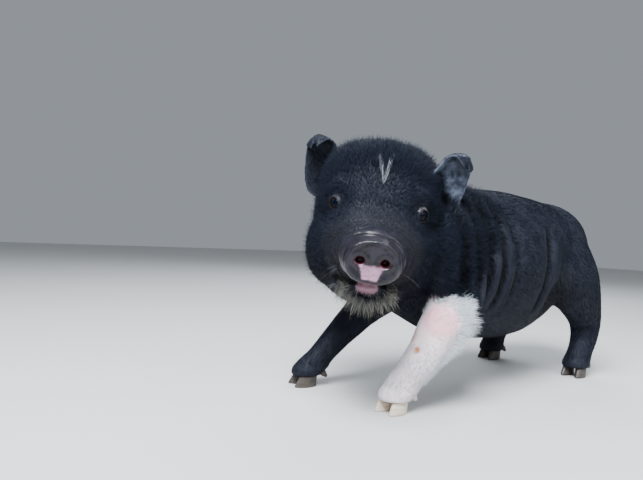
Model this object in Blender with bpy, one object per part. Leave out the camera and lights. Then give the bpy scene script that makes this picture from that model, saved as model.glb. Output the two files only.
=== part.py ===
"""A black miniature piglet with one white foreleg, standing with its head turned to its left.

The animal is shaped as one whole body of flesh in its short coat, then parted with thin cuts
into the pieces that a person would name. Every length is in millimetres until the last step,
which moves the origin below the middle of the animal and turns the meshes into metres.
X runs forward along the spine, Y to the animal's left and Z up.
"""

import math
import random

import bmesh
import bpy
import numpy as np
from mathutils import Matrix, Vector

# Whole animal
METRES_PER_MM = 0.001
PARTING_GAP = 0.3
VOXEL = 1.3
SOFTENING = 9
SEED = 7

# Trunk stations: x, y, z, half width, half height
TRUNK = [
    (-160, 0, 88, 15, 17),
    (-150, 0, 89.5, 27.5, 28),
    (-122, 0, 86.5, 38, 42),
    (-82, 0, 79.5, 43, 51.5),
    (-42, 0, 79.5, 42, 50.5),
    (-4, 0, 82.5, 37, 45.5),
    (22, -1, 80, 29, 34),
    (36, -2, 77, 18, 20),
]
NECK = [(-16, 0, 91, 37, 38), (6, -6, 94, 35, 38), (26, -12, 102, 35, 39)]
SHOULDER_SPREAD = 25
SHOULDER = (1, 81, 27, 15, 34)
RUMP = (-131, 0, 94.5, 31, 38, 33)

# Legs: stations of x, y, z, half width, half depth, from the body to the foot
FORELEG_LEFT = [
    (-4, 26, 74, 15, 19),
    (0, 29, 59, 14.5, 16.5),
    (9, 30, 50, 13.8, 14),
    (17, 29.5, 42, 12.3, 12.5),
    (25.8, 28.7, 30, 11, 10.2),
    (34.4, 26.2, 19.5, 9.2, 8.8),
    (42, 23.5, 9, 8.6, 8.6),
    (43, 23, 3, 8.6, 8.6),
]
FORELEG_RIGHT = [
    (-4, -26, 74, 15, 19),
    (1, -30, 59, 14, 16),
    (15, -32, 48, 12, 12.5),
    (34, -34, 32, 9, 9.5),
    (47, -38, 17, 7.8, 8),
    (54, -41, 9, 8.6, 8.6),
    (55, -41.5, 3, 8.6, 8.6),
]
HIND_LEG = [
    (-117, 19, 98, 17, 30),
    (-122, 27, 82, 17, 29),
    (-129, 33, 66, 15.5, 24),
    (-139, 34, 51, 12.5, 17.5),
    (-145, 34, 38, 10.5, 12.5),
    (-144, 34, 27, 9.2, 10.4),
    (-139, 34, 17.5, 8.4, 9),
    (-135, 33.5, 10, 8.6, 8.8),
    (-134, 33, 3, 8.8, 8.8),
]
STIFLE = (-109, 33, 74, 18, 10.5, 20)
RIGHT_HIND_STEP = 7
KNEE_CUT = 35
HOCK_CUT = 50
LEG_REACH = 70

# Feet
CORONET = 7.0
CLAW_LENGTH = 14.5
CLAW_WIDTH = 7.4
CLAW_SPLAY = 5
CLAW_GAP = 1.4
CLAW_LEVELS = ((0, 1, 0.96, 1.2), (0.8, 1.03, 1, 1.2), (CORONET - PARTING_GAP, 0.82, 0.94, -0.8))
DEWCLAW_RADIUS = 2.2
DEWCLAW_ROOT = (-4.5, 4.4, 12.5)
DEWCLAW_TIP = (-11.5, 5.4, 5.5)

# Tail: x, y, z, half width, half depth
TAIL = [
    (-153, 0, 116, 4.2, 4.2),
    (-163, 0, 114, 3.6, 3.6),
    (-170, 1, 104, 3.0, 3.0),
    (-172.5, 2, 91, 2.6, 2.6),
    (-172, 3, 78, 2.3, 2.3),
    (-170, 4, 67, 1.9, 1.9),
    (-168, 4.5, 57, 0.9, 0.9),
]

# Head frame: the point midway between the eyes, turned to the left and rolled a little
EYES_MIDPOINT = Vector((49, 11, 108))
HEAD_YAW = 48
HEAD_ROLL = 6
HEAD_CUT_TILT = 34
HEAD_CUT_PLACE = (-52, 0, 25)
CHEEK_HALF_WIDTH = 38.5
EYE_SPREAD = 20.8
EYE_FORWARD = 1.2
EYE_RADIUS = 5.4
LID_THICKNESS = 1.2
EYE_TURN = 40
EYE_OPENING = (4.1, 3.5)

# Head: centres and radii in the head frame, those of one side on its left
CRANIUM = ((-22, 0, -1), (38, 37.5, 43))
THROAT = ((-14, 0, -36), (28, 25, 19))
NAPE = ((-40, 0, -6), (26, 31, 36))
JOWL = ((-12, CHEEK_HALF_WIDTH - 19, -22), (25, 19, 25))
BROW = ((0, 17, 10), (9, 12, 9))
TEMPLE = ((-25, 12, 10), (28, 25, 31))

# Muzzle: forward, left, up, half width, half height in the head frame
MUZZLE = [
    (-14, 0, -18, 36, 30),
    (4, 0, -20, 32.5, 26),
    (16, 0, -23, 26.5, 21),
    (26, 0, -25, 20.5, 16.5),
    (36, 0, -26.5, 16, 12.6),
    (46, 0, -27, 13.6, 11),
]
JAW = [(-16, 0, -38, 28, 17), (6, 0, -41, 22, 12), (20, 0, -42.5, 15.5, 8), (32, 0, -42.5, 10, 5.5)]
DISC_CENTRE = (43.5, 0, -27)
DISC_TILT = 8
DISC_HALF_WIDTH = 13.0
DISC_HALF_HEIGHT = 10.4
DISC_DEPTH = 6.0
DISC_RINGS = ((0, 0.93), (0.55, 1), (0.8, 0.99), (0.95, 0.93), (1, 0.84), (0.9, 0.6), (0.86, 0.3))
NOSTRIL_SPREAD = 5.9
NOSTRIL_SIZE = (5.5, 2.5, 1.9)
MOUTH_CORNER = 14
MOUTH_GAPE = 2.3
MOUTH_LEVEL = -38.6
LIP_SIZE = (4.6, 5.6, 2.8)
LIP_CENTRE = (32.5, -0.5, -40.2)

# Ears: each a cupped blade with its tip folded forward, by its root, its rise and the way it faces
EAR_LENGTH = 25
EAR_FOLD = 10
EAR_HALF_WIDTH = 13
EAR_THICKNESS = 1.8
EAR_BEND = 3.2
EAR_DROOP = 4.5
EAR_SUNK = 8
EAR_CUP = (78, 28)
EAR_ROWS = 15
EAR_COLUMNS = 9
EAR_LEFT = ((-13, 35, 12), (-0.1, 0.3, 0.93), (0.88, 0.42, -0.2))
EAR_RIGHT = ((-23, -34.2, 13.5), (-0.15, -0.22, 0.96), (0.88, -0.42, 0.1))

# Folds of the skin: where they lie, depth, width
LEFT_FOLDS = (11.5, -1, -14, -26)
RIGHT_FOLDS = (-6, -24)
FOLD = (2.4, 2.6)
RIDGE = (0.9, 3.2)
FLANK_FOLD = (-79.5, 3.6, 4.0)
FLANK_HOLLOW = ((-95, 9), (56, 12), 5)
GROIN_FOLD = (-118, 2.5, 9)
SNOUT_WRINKLES = ((37.5, 0.9), (32.5, 1.1), (26.5, 1.2))
WRINKLE_WIDTH = 1.5

# Chin bristles
BRISTLES = 30
BRISTLE_LENGTH = 10.5
BRISTLE_WIDTHS = (2.8, 4.0)
BRISTLE_THICKNESS = 0.9
BRISTLE_TAPER = ((0, 1), (0.3, 0.92), (0.58, 0.72), (0.82, 0.42), (1, 0.1))

# Triangles that each piece is thinned to
HEAD_TRIANGLES = 3300
JAW_TRIANGLES = 400
SHOULDER_TRIANGLES = 1400
TRUNK_TRIANGLES = 1600
FORELEG_TRIANGLES = {"upper": 450, "lower": 400}
HIND_LEG_TRIANGLES = {"upper": 560, "lower": 450}

# Colours: base, roughness
BLACK_COAT = ((0.016, 0.015, 0.018), 0.55)
WHITE_COAT = ((0.83, 0.78, 0.75), 0.7)
SNOUT_SKIN = ((0.07, 0.065, 0.07), 0.3)
PINK_SKIN = ((0.72, 0.38, 0.36), 0.3)
EYE_GLOSS = ((0.01, 0.011, 0.02), 0.05)
DARK_HORN = ((0.03, 0.027, 0.026), 0.4)
PALE_HORN = ((0.7, 0.6, 0.5), 0.45)

FORWARD = Vector((math.cos(math.radians(HEAD_YAW)), math.sin(math.radians(HEAD_YAW)), 0))
ACROSS = Vector((-FORWARD.y, FORWARD.x, 0))
ROLL = math.radians(HEAD_ROLL)
LEFT = math.cos(ROLL) * ACROSS - math.sin(ROLL) * Vector((0, 0, 1))
UP = math.cos(ROLL) * Vector((0, 0, 1)) + math.sin(ROLL) * ACROSS


def head_matrix():
    """Head frame to body frame."""
    turn = Matrix((FORWARD, LEFT, UP)).transposed().to_4x4()
    return Matrix.Translation(EYES_MIDPOINT) @ turn


def clear_scene():
    for obj in list(bpy.data.objects):
        bpy.data.objects.remove(obj, do_unlink=True)


def new_object(name, mesh):
    obj = bpy.data.objects.new(name, mesh)
    bpy.context.scene.collection.objects.link(obj)
    return obj


def from_bmesh(name, shape):
    bmesh.ops.recalc_face_normals(shape, faces=shape.faces)
    mesh = bpy.data.meshes.new(name)
    shape.to_mesh(mesh)
    shape.free()
    return new_object(name, mesh)


def discard(obj):
    bpy.data.objects.remove(obj, do_unlink=True)


def settle(obj):
    """Applies the modifiers of an object."""
    graph = bpy.context.evaluated_depsgraph_get()
    graph.update()
    mesh = bpy.data.meshes.new_from_object(obj.evaluated_get(graph))
    obj.modifiers.clear()
    obj.data = mesh
    return obj


def copy_of(obj, name="copy"):
    twin = obj.copy()
    twin.data = obj.data.copy()
    twin.name = name
    bpy.context.scene.collection.objects.link(twin)
    return twin


def boolean(obj, other, operation, solver="EXACT"):
    step = obj.modifiers.new("join", "BOOLEAN")
    step.operation = operation
    step.solver = solver
    step.object = other
    return settle(obj)


def subtract(obj, cutter, solver="EXACT"):
    boolean(obj, cutter, "DIFFERENCE", solver)
    discard(cutter)
    return obj


def unite(obj, other, solver="EXACT"):
    boolean(obj, other, "UNION", solver)
    discard(other)
    return obj


def unite_all(obj, shapes):
    """One union of an object with a collection of closed shapes."""
    group = bpy.data.collections.new("pieces")
    bpy.context.scene.collection.children.link(group)
    for shape in shapes:
        bpy.context.scene.collection.objects.unlink(shape)
        group.objects.link(shape)
    step = obj.modifiers.new("join", "BOOLEAN")
    step.operation = "UNION"
    step.operand_type = "COLLECTION"
    step.collection = group
    settle(obj)
    for shape in shapes:
        discard(shape)
    bpy.data.collections.remove(group)
    return obj


def keep_largest(obj):
    """Keeps only the surface with the most vertices."""
    shape = bmesh.new()
    shape.from_mesh(obj.data)
    unseen = set(shape.verts)
    pieces = []
    while unseen:
        piece = []
        front = [unseen.pop()]
        while front:
            vert = front.pop()
            piece.append(vert)
            for edge in vert.link_edges:
                other = edge.other_vert(vert)
                if other in unseen:
                    unseen.discard(other)
                    front.append(other)
        pieces.append(piece)
    pieces.sort(key=len, reverse=True)
    for piece in pieces[1:]:
        bmesh.ops.delete(shape, geom=piece, context="VERTS")
    shape.to_mesh(obj.data)
    shape.free()
    return obj


def is_closed(mesh):
    shape = bmesh.new()
    shape.from_mesh(mesh)
    closed = all(edge.is_manifold for edge in shape.edges)
    shape.free()
    return closed


def in_triangles(mesh):
    """Triangulated copy of a mesh, without its slivers where that leaves it closed."""
    found = None
    for sliver in (0.002, 0.0):
        shape = bmesh.new()
        shape.from_mesh(mesh)
        bmesh.ops.triangulate(shape, faces=shape.faces)
        if sliver:
            bmesh.ops.dissolve_degenerate(shape, edges=shape.edges, dist=sliver)
        found = bpy.data.meshes.new("triangles")
        shape.to_mesh(found)
        shape.free()
        if is_closed(found):
            break
    return found


def drop_flaps(obj):
    """Removes the tiny faces that hang from an edge which two other faces already close."""
    shape = bmesh.new()
    shape.from_mesh(obj.data)
    flaps = []
    for face in shape.faces:
        counts = [len(edge.link_faces) for edge in face.edges]
        if min(counts) == 1 and max(counts) > 2:
            flaps.append(face)
    bmesh.ops.delete(shape, geom=flaps, context="FACES")
    shape.to_mesh(obj.data)
    shape.free()


def thin_out(obj, triangles):
    """Decimates to about this many triangles, a little finer when that would tear the surface."""
    full = in_triangles(obj.data)
    for attempt in range(12):
        obj.data = full
        step = obj.modifiers.new("thin", "DECIMATE")
        step.ratio = min(1.0, triangles * 1.02**attempt / len(full.polygons))
        settle(obj)
        drop_flaps(obj)
        if is_closed(obj.data):
            break
    return obj


def smooth_curve(stations, steps):
    """Catmull-Rom points through the stations, steps to a span."""
    rows = np.array(stations, dtype=float)
    padded = np.vstack([2 * rows[0] - rows[1], rows, 2 * rows[-1] - rows[-2]])
    found = []
    for i in range(1, len(padded) - 2):
        a, b, c, d = padded[i - 1 : i + 3]
        for t in np.linspace(0, 1, steps, endpoint=False):
            found.append(
                0.5
                * (2 * b + (c - a) * t + (2 * a - 5 * b + 4 * c - d) * t**2 + (3 * b - a - 3 * c + d) * t**3)
            )
    found.append(rows[-1])
    return np.array(found)


def tube(name, stations, steps=4, sides=28, side_axis=(0, 1, 0)):
    """Loft of ellipses along a smooth path; each station is a centre, a half width and a half depth."""
    rows = smooth_curve(stations, steps)
    centres = rows[:, :3]
    tangents = np.gradient(centres, axis=0)
    shape = bmesh.new()
    rings = []
    for centre, tangent, (wide, deep) in zip(centres, tangents, rows[:, 3:5]):
        tangent = Vector(tangent).normalized()
        side = Vector(side_axis)
        side = (side - side.dot(tangent) * tangent).normalized()
        other = tangent.cross(side)
        ring = []
        for k in range(sides):
            angle = 2 * math.pi * k / sides
            point = Vector(centre) + side * wide * math.cos(angle) + other * deep * math.sin(angle)
            ring.append(shape.verts.new(point))
        rings.append(ring)
    for lower, upper in zip(rings, rings[1:]):
        for k in range(sides):
            shape.faces.new((lower[k], lower[(k + 1) % sides], upper[(k + 1) % sides], upper[k]))
    shape.faces.new(rings[0])
    shape.faces.new(rings[-1])
    return from_bmesh(name, shape)


def ball(name, centre, radii, matrix=None, segments=32):
    """Ellipsoid, in the frame of the matrix when one is given."""
    shape = bmesh.new()
    bmesh.ops.create_uvsphere(shape, u_segments=segments, v_segments=segments // 2, radius=1)
    place = Matrix.Translation(centre) @ Matrix.Diagonal((*radii, 1))
    bmesh.ops.transform(shape, matrix=(matrix or Matrix()) @ place, verts=shape.verts)
    return from_bmesh(name, shape)


def box(name, low, high, matrix=None):
    """Box between two corners, in the frame of the matrix when one is given."""
    shape = bmesh.new()
    bmesh.ops.create_cube(shape, size=1)
    low = Vector(low)
    high = Vector(high)
    place = Matrix.Translation((low + high) / 2) @ Matrix.Diagonal((*(high - low), 1))
    bmesh.ops.transform(shape, matrix=(matrix or Matrix()) @ place, verts=shape.verts)
    return from_bmesh(name, shape)


def prism(name, outline, low, high, matrix=None):
    """Outline of (forward, up) points drawn sideways between two lefts."""
    shape = bmesh.new()
    near = [shape.verts.new((f, low, u)) for f, u in outline]
    far = [shape.verts.new((f, high, u)) for f, u in outline]
    shape.faces.new(near)
    shape.faces.new(far)
    for k in range(len(outline)):
        after = (k + 1) % len(outline)
        shape.faces.new((near[k], near[after], far[after], far[k]))
    bmesh.ops.transform(shape, matrix=matrix or Matrix(), verts=shape.verts)
    return from_bmesh(name, shape)


def joined(name, shapes):
    """One object that holds the surfaces of all the shapes."""
    whole = bmesh.new()
    for obj in shapes:
        whole.from_mesh(obj.data)
        discard(obj)
    return from_bmesh(name, whole)


def fused(name, shapes, voxel, softening):
    """One skin over all the shapes, with the creases between them softened."""
    obj = joined(name, shapes)
    remesh = obj.modifiers.new("skin", "REMESH")
    remesh.mode = "VOXEL"
    remesh.voxel_size = voxel
    soften = obj.modifiers.new("soften", "SMOOTH")
    soften.factor = 0.5
    soften.iterations = softening
    return settle(obj)


def mirrored(stations, step=0):
    """Stations of the other side, the whole leg moved forward by a step."""
    reach = len(stations) - 1
    return [(x + step * k / reach, -y, *rest) for k, (x, y, *rest) in enumerate(stations)]


def trunk_shapes():
    shapes = [tube("trunk", TRUNK), tube("neck", NECK)]
    x, y, z, *radii = RUMP
    shapes.append(ball("rump", (x, y, z), radii))
    x, z, *radii = SHOULDER
    for side in (1, -1):
        shapes.append(ball("shoulder", (x, side * SHOULDER_SPREAD, z), radii))
        x_stifle, y_stifle, z_stifle, *stifle = STIFLE
        shapes.append(ball("stifle", (x_stifle, side * y_stifle, z_stifle), stifle))
    return shapes


def leg_shapes():
    right_hind = mirrored(HIND_LEG, RIGHT_HIND_STEP)
    return [tube("leg", leg, sides=24) for leg in (FORELEG_LEFT, FORELEG_RIGHT, HIND_LEG, right_hind)]


def head_shapes(frame):
    """Balls of the head and the tubes of muzzle and jaw."""
    shapes = [ball("middle", centre, radii, frame) for centre, radii in (CRANIUM, THROAT, NAPE)]
    for side in (1, -1):
        for (f, l, u), radii in (JOWL, BROW, TEMPLE):
            shapes.append(ball("paired", (f, side * l, u), radii, frame))
    for stations in (MUZZLE, JAW):
        piece = tube("snout", stations)
        piece.data.transform(frame)
        shapes.append(piece)
    return shapes


def coordinates(obj):
    mesh = obj.data
    points = np.empty(len(mesh.vertices) * 3)
    mesh.vertices.foreach_get("co", points)
    normals = np.empty(len(mesh.vertices) * 3)
    mesh.vertices.foreach_get("normal", normals)
    return points.reshape(-1, 3), normals.reshape(-1, 3)


def store(obj, points):
    obj.data.vertices.foreach_set("co", points.ravel())
    obj.data.update()


def bell(distance, width):
    return np.exp(-((distance / width) ** 2))


def ramp(value, low, high):
    """0 below low, 1 above high, smooth between them."""
    t = np.clip((value - low) / (high - low), 0, 1)
    return t * t * (3 - 2 * t)


def to_head(points):
    axes = np.array([FORWARD, LEFT, UP])
    return (points - np.array(EYES_MIDPOINT)) @ axes.T


def body_folds(points, normals):
    """Depth of the upright skin folds behind the head and the folds of flank and groin."""
    x, y, z = points.T
    depth = np.zeros(len(points))
    bow = 5 * (1 - ((z - 88) / 42) ** 2)
    for side, places in ((1, LEFT_FOLDS), (-1, RIGHT_FOLDS)):
        facing = ramp(side * normals[:, 1], 0.1, 0.6) * ramp(side * y, 8, 20)
        height = ramp(z, 48, 66) * (1 - ramp(z, 116, 128))
        deep, wide = FOLD
        for place in places:
            depth += deep * bell(x - place + bow, wide) * facing * height
        high, broad = RIDGE
        for place in places[:-1]:
            depth -= high * bell(x - place + 6.5 + bow, broad) * facing * height
        place, deep, wide = FLANK_FOLD
        flank = place - 0.16 * (z - 80)
        depth += deep * bell(x - flank, wide) * facing * ramp(z, 44, 58) * (1 - ramp(z, 92, 112))
        (place, long), (level, high), deep = FLANK_HOLLOW
        depth += deep * bell(np.hypot((x - place) / long, (z - level) / high), 1) * facing
        place, deep, wide = GROIN_FOLD
        groin = ramp(z, 34, 44) * (1 - ramp(z, 56, 66))
        depth += deep * bell(x - place, wide) * facing * groin
    return depth


def face_forms(points, normals):
    """Depth of the eye hollows, the wrinkles round the snout and the dish of the forehead."""
    f, l, u = to_head(points).T
    depth = np.zeros(len(points))
    on_head = ramp(f, -20, -6)
    for side in (1, -1):
        near = np.sqrt((f - EYE_FORWARD - 6) ** 2 + (l - side * 26) ** 2 + (u + 1) ** 2)
        depth += 2.6 * bell(near, 8)
        below = np.sqrt((f - 14) ** 2 + (l - side * 22) ** 2 + (u + 9) ** 2)
        depth += 1.2 * bell(below, 7)
    above_mouth = ramp(u, -42, -34)
    for ring, deep in SNOUT_WRINKLES:
        line = f - ring + 0.18 * np.abs(l) - 0.1 * (u + 27)
        depth += deep * bell(line, WRINKLE_WIDTH) * on_head * above_mouth
    depth += 1.5 * bell(f - 16, 9) * bell(l, 11) * ramp(u, -16, -4)
    return depth


def sculpt(flesh):
    """Works folds and face into the one body of flesh."""
    points, normals = coordinates(flesh)
    depth = body_folds(points, normals) + face_forms(points, normals)
    store(flesh, points - normals * depth[:, None])


def part_off(flesh, name, region, triangles):
    """Takes the flesh inside a region as a node of its own and leaves the gap round it."""
    piece = copy_of(flesh, name)
    boolean(piece, region, "INTERSECT", "MANIFOLD")
    subtract(flesh, grown(region, PARTING_GAP), "MANIFOLD")
    discard(region)
    keep_largest(piece)
    return thin_out(piece, triangles)


def grown(obj, amount):
    """Copy of an object with each face pushed out by about this amount."""
    twin = copy_of(obj, "grown")
    shape = bmesh.new()
    shape.from_mesh(twin.data)
    shape.normal_update()
    moves = [vert.normal * amount * min(vert.calc_shell_factor(), 2.0) for vert in shape.verts]
    for vert, move in zip(shape.verts, moves):
        vert.co += move
    shape.to_mesh(twin.data)
    shape.free()
    return twin


def seat(piece, *supports):
    """Cuts the root of a piece to the shape of what it stands on."""
    for support in supports:
        subtract(piece, grown(support, PARTING_GAP), "MANIFOLD")
    return keep_largest(piece)


def part_head(flesh, frame):
    """Head in front of a slanting plane from behind the ears to the throat."""
    tilt = Matrix.Rotation(math.radians(-HEAD_CUT_TILT), 4, "Y")
    place = Matrix.Translation(HEAD_CUT_PLACE)
    region = box("region", (0, -75, -150), (150, 75, 60), frame @ place @ tilt)
    return part_off(flesh, "head", region, HEAD_TRIANGLES + 1300)


def open_mouth(head, frame):
    """A slot across the front of the head that closes to a thin line at its corners."""
    upper = [(60, MOUTH_LEVEL + 2.2), (30, MOUTH_LEVEL + 1.2), (20, MOUTH_LEVEL)]
    upper.append((MOUTH_CORNER, MOUTH_LEVEL + 0.9))
    lower = [(MOUTH_CORNER, MOUTH_LEVEL), (20, MOUTH_LEVEL - 1.2), (30, MOUTH_LEVEL + 1.2 - MOUTH_GAPE)]
    lower.append((60, MOUTH_LEVEL + 2.2 - MOUTH_GAPE))
    subtract(head, prism("mouth", upper + lower, -45, 45, frame), "MANIFOLD")


def lock(root, direction, curl, length, width):
    """Flat tapered lock of bristles with a four-cornered section, bent towards its curl."""
    along = Vector(direction).normalized()
    side = along.cross(Vector(curl)).normalized()
    flat = side.cross(along)
    shape = bmesh.new()
    rings = []
    for t, wide in BRISTLE_TAPER:
        centre = Vector(root) + along * length * t + Vector(curl) * length * 0.3 * t * t
        half_w = side * width * wide / 2
        half_t = flat * BRISTLE_THICKNESS * max(wide, 0.4) / 2
        corners = [half_w, half_t, -half_w, -half_t]
        rings.append([shape.verts.new(centre + corner) for corner in corners])
    for lower, upper in zip(rings, rings[1:]):
        for k in range(4):
            shape.faces.new((lower[k], lower[(k + 1) % 4], upper[(k + 1) % 4], upper[k]))
    shape.faces.new(rings[0])
    shape.faces.new(rings[-1])
    return from_bmesh("lock", shape)


def eyelids(head, frame, side):
    """A lid dome over the eye, hollowed for the eyeball and slit open in the middle."""
    centre = frame @ Vector((EYE_FORWARD, side * EYE_SPREAD, 0))
    look = frame.to_3x3() @ Matrix.Rotation(math.radians(side * EYE_TURN), 3, "Z")
    place = Matrix.Translation(centre) @ look.to_4x4()
    outer = EYE_RADIUS + LID_THICKNESS
    unite(head, ball("lids", (0, 0, 0), (outer,) * 3, place, 18), "MANIFOLD")
    inner = EYE_RADIUS + PARTING_GAP
    subtract(head, ball("socket", (0, 0, 0), (inner,) * 3, place, 16), "MANIFOLD")
    half_wide, half_high = EYE_OPENING
    slit = ball("slit", (outer, 0, 0), (outer * 0.9, half_wide, half_high), place, 16)
    subtract(head, slit, "MANIFOLD")
    return ball("eye_" + ("left" if side > 0 else "right"), (0, 0, 0), (EYE_RADIUS,) * 3, place, 16)


def superellipse(angle, wide, high, power=2.5):
    c, s = math.cos(angle), math.sin(angle)
    return (
        math.copysign(abs(c) ** (2 / power), c) * wide,
        math.copysign(abs(s) ** (2 / power), s) * high,
    )


def snout_disc(frame):
    """Rounded disc with a raised rim and two nostrils."""
    place = frame @ Matrix.Translation(DISC_CENTRE) @ Matrix.Rotation(math.radians(DISC_TILT), 4, "Y")
    sides = 26
    shape = bmesh.new()
    loops = []
    for depth, size in DISC_RINGS:
        loop = []
        for k in range(sides):
            y, z = superellipse(2 * math.pi * k / sides, DISC_HALF_WIDTH * size, DISC_HALF_HEIGHT * size)
            narrowing = 1 - 0.1 * max(z, 0) / DISC_HALF_HEIGHT
            loop.append(shape.verts.new((DISC_DEPTH * depth, y * narrowing, z)))
        loops.append(loop)
    for lower, upper in zip(loops, loops[1:]):
        for k in range(sides):
            shape.faces.new((lower[k], lower[(k + 1) % sides], upper[(k + 1) % sides], upper[k]))
    shape.faces.new(loops[0])
    shape.faces.new(loops[-1])
    bmesh.ops.transform(shape, matrix=place, verts=shape.verts)
    disc = from_bmesh("snout_disc", shape)
    for side in (1, -1):
        centre = (DISC_DEPTH * 0.95, side * NOSTRIL_SPREAD, 0.5)
        subtract(disc, ball("nostril", centre, NOSTRIL_SIZE, place, 16))
    return disc, place


def sheet(name, grid, thickness):
    """Closed blade from a grid of points, both faces with the same triangles."""
    rows, columns = grid.shape[:2]
    du = np.gradient(grid, axis=0)
    dv = np.gradient(grid, axis=1)
    normals = np.cross(du, dv)
    normals /= np.linalg.norm(normals, axis=2, keepdims=True)
    shape = bmesh.new()
    faces = []
    for sign in (1, -1):
        layer = grid + normals * sign * thickness / 2
        faces.append([[shape.verts.new(layer[i, j]) for j in range(columns)] for i in range(rows)])
    for layer in faces:
        for i in range(rows - 1):
            for j in range(columns - 1):
                a, b = layer[i][j], layer[i + 1][j]
                c, d = layer[i + 1][j + 1], layer[i][j + 1]
                shape.faces.new((a, b, c))
                shape.faces.new((a, c, d))
    edge = [(i, 0) for i in range(rows)]
    edge += [(rows - 1, j) for j in range(1, columns)]
    edge += [(i, columns - 1) for i in range(rows - 2, -1, -1)]
    edge += [(0, j) for j in range(columns - 2, 0, -1)]
    top, bottom = faces
    for (i, j), (m, n) in zip(edge, edge[1:] + edge[:1]):
        shape.faces.new((top[i][j], top[m][n], bottom[m][n]))
        shape.faces.new((top[i][j], bottom[m][n], bottom[i][j]))
    return from_bmesh(name, shape)


def ear_width(s):
    """Half width of an ear at a share of its reach: rounded at both ends, broadest near the root."""
    lobe = s * (EAR_LENGTH + EAR_FOLD) / (1.05 * EAR_SUNK)
    end = (s / 1.02) ** 8 if s > 0 else lobe**2
    return EAR_HALF_WIDTH * (0.95 + 0.3 * max(s, 0) - 0.95 * s * abs(s)) * math.sqrt(max(1 - end, 0.08))


def folded(along, crease):
    """How far forward and how high a point of the ear lies, with the ear folded over at its crease."""
    bend = min(max(along - crease, 0) / EAR_BEND, math.radians(140))
    past = max(along - crease - bend * EAR_BEND, 0)
    front = EAR_BEND * (1 - math.cos(bend)) + past * math.sin(bend)
    height = min(along, crease) + EAR_BEND * math.sin(bend) + past * math.cos(bend)
    return front, height


def ear(name, frame, root, rise, facing):
    """Cupped blade that stands up and out from the side of the head, the last part folded forward."""
    grid = np.zeros((EAR_ROWS, EAR_COLUMNS, 3))
    reach = EAR_LENGTH + EAR_FOLD
    for i in range(EAR_ROWS):
        along = -EAR_SUNK + (reach + EAR_SUNK) * (1 - math.cos(math.pi * i / (EAR_ROWS - 1))) / 2
        s = along / reach
        half = ear_width(s)
        deepest, flattest = EAR_CUP
        cup = math.radians(deepest - (deepest - flattest) * min(max(s, 0) * 1.3, 1))
        for j in range(EAR_COLUMNS):
            t = 2 * j / (EAR_COLUMNS - 1) - 1
            front, height = folded(along, EAR_LENGTH - EAR_DROOP * t * t)
            angle = t * cup
            across = half * math.sin(angle) / math.sin(cup)
            hollow = half * (math.cos(angle) - math.cos(cup)) / math.sin(cup)
            grid[i, j] = (front - hollow, across, height)
    up = Vector(rise).normalized()
    across = up.cross(Vector(facing)).normalized()
    turn = Matrix((across.cross(up), across, up)).transposed().to_4x4()
    blade = sheet(name, grid, EAR_THICKNESS)
    blade.data.transform(frame @ Matrix.Translation(root) @ turn)
    return blade


def claw_outline(scale_length, scale_width, shift):
    """Half-round heel at the back, drawn to a blunt point in front."""
    points = []
    for k in range(12):
        angle = 2 * math.pi * k / 12
        reach = math.cos(angle) * CLAW_LENGTH / 2 * scale_length
        narrow = 1 - 0.35 * ramp(math.cos(angle), 0.1, 1)
        points.append((reach + shift, math.sin(angle) * CLAW_WIDTH / 2 * scale_width * narrow))
    return points


def claw(name, centre, heading, side):
    """One toe of a foot: a flat sole and a wall that slopes back to the coronet."""
    shape = bmesh.new()
    loops = []
    for z, long, wide, shift in CLAW_LEVELS:
        loops.append([shape.verts.new((x, y, z)) for x, y in claw_outline(long, wide, shift)])
    for lower, upper in zip(loops, loops[1:]):
        for k in range(len(lower)):
            after = (k + 1) % len(lower)
            shape.faces.new((lower[k], lower[after], upper[after], upper[k]))
    shape.faces.new(loops[0])
    shape.faces.new(loops[-1])
    spread = Matrix.Rotation(math.radians(side * CLAW_SPLAY), 4, "Z")
    aside = Matrix.Translation((0, side * (CLAW_WIDTH + CLAW_GAP) / 2, 0))
    place = Matrix.Translation(centre) @ Matrix.Rotation(math.radians(heading), 4, "Z") @ aside @ spread
    bmesh.ops.transform(shape, matrix=place, verts=shape.verts)
    return from_bmesh(name, shape)


def dewclaw(name, centre, heading, side, leg):
    """Small hanging claw behind a foot, cut to the leg that it grows from."""
    place = Matrix.Translation(centre) @ Matrix.Rotation(math.radians(heading), 4, "Z")
    root = place @ (Vector(DEWCLAW_ROOT) * Vector((1, side, 1)))
    tip = place @ (Vector(DEWCLAW_TIP) * Vector((1, side, 1)))
    row = [(*root, DEWCLAW_RADIUS, DEWCLAW_RADIUS)]
    row.append((*root.lerp(tip, 0.7), DEWCLAW_RADIUS * 0.8, DEWCLAW_RADIUS))
    row.append((*tip, DEWCLAW_RADIUS * 0.4, DEWCLAW_RADIUS * 0.4))
    return seat(tube(name, row, steps=1, sides=8), leg)


def chin_bristles(jaw, frame):
    """Short fan of bristles below the lower lip, joined to the jaw."""
    chance = random.Random(SEED)
    turn = frame.to_3x3()
    shapes = []
    for k in range(BRISTLES):
        row = k % 2
        spread = (k // 2 + 0.5) / (BRISTLES / 2) * 2 - 1 + chance.uniform(-0.06, 0.06)
        left = spread * (12.5 - 2.5 * row)
        forward = 33 - 7 * row - 8 * spread * spread
        root = frame @ Vector((forward, left, -43 - row))
        direction = turn @ Vector((0.55 - 0.45 * row, 0.75 * spread, -0.8))
        curl = turn @ Vector((-0.5, chance.uniform(-0.35, 0.35), -0.75))
        length = BRISTLE_LENGTH * chance.uniform(0.75, 1.1)
        shapes.append(lock(root, direction, curl, length, chance.uniform(*BRISTLE_WIDTHS)))
    unite_all(jaw, shapes)


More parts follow.
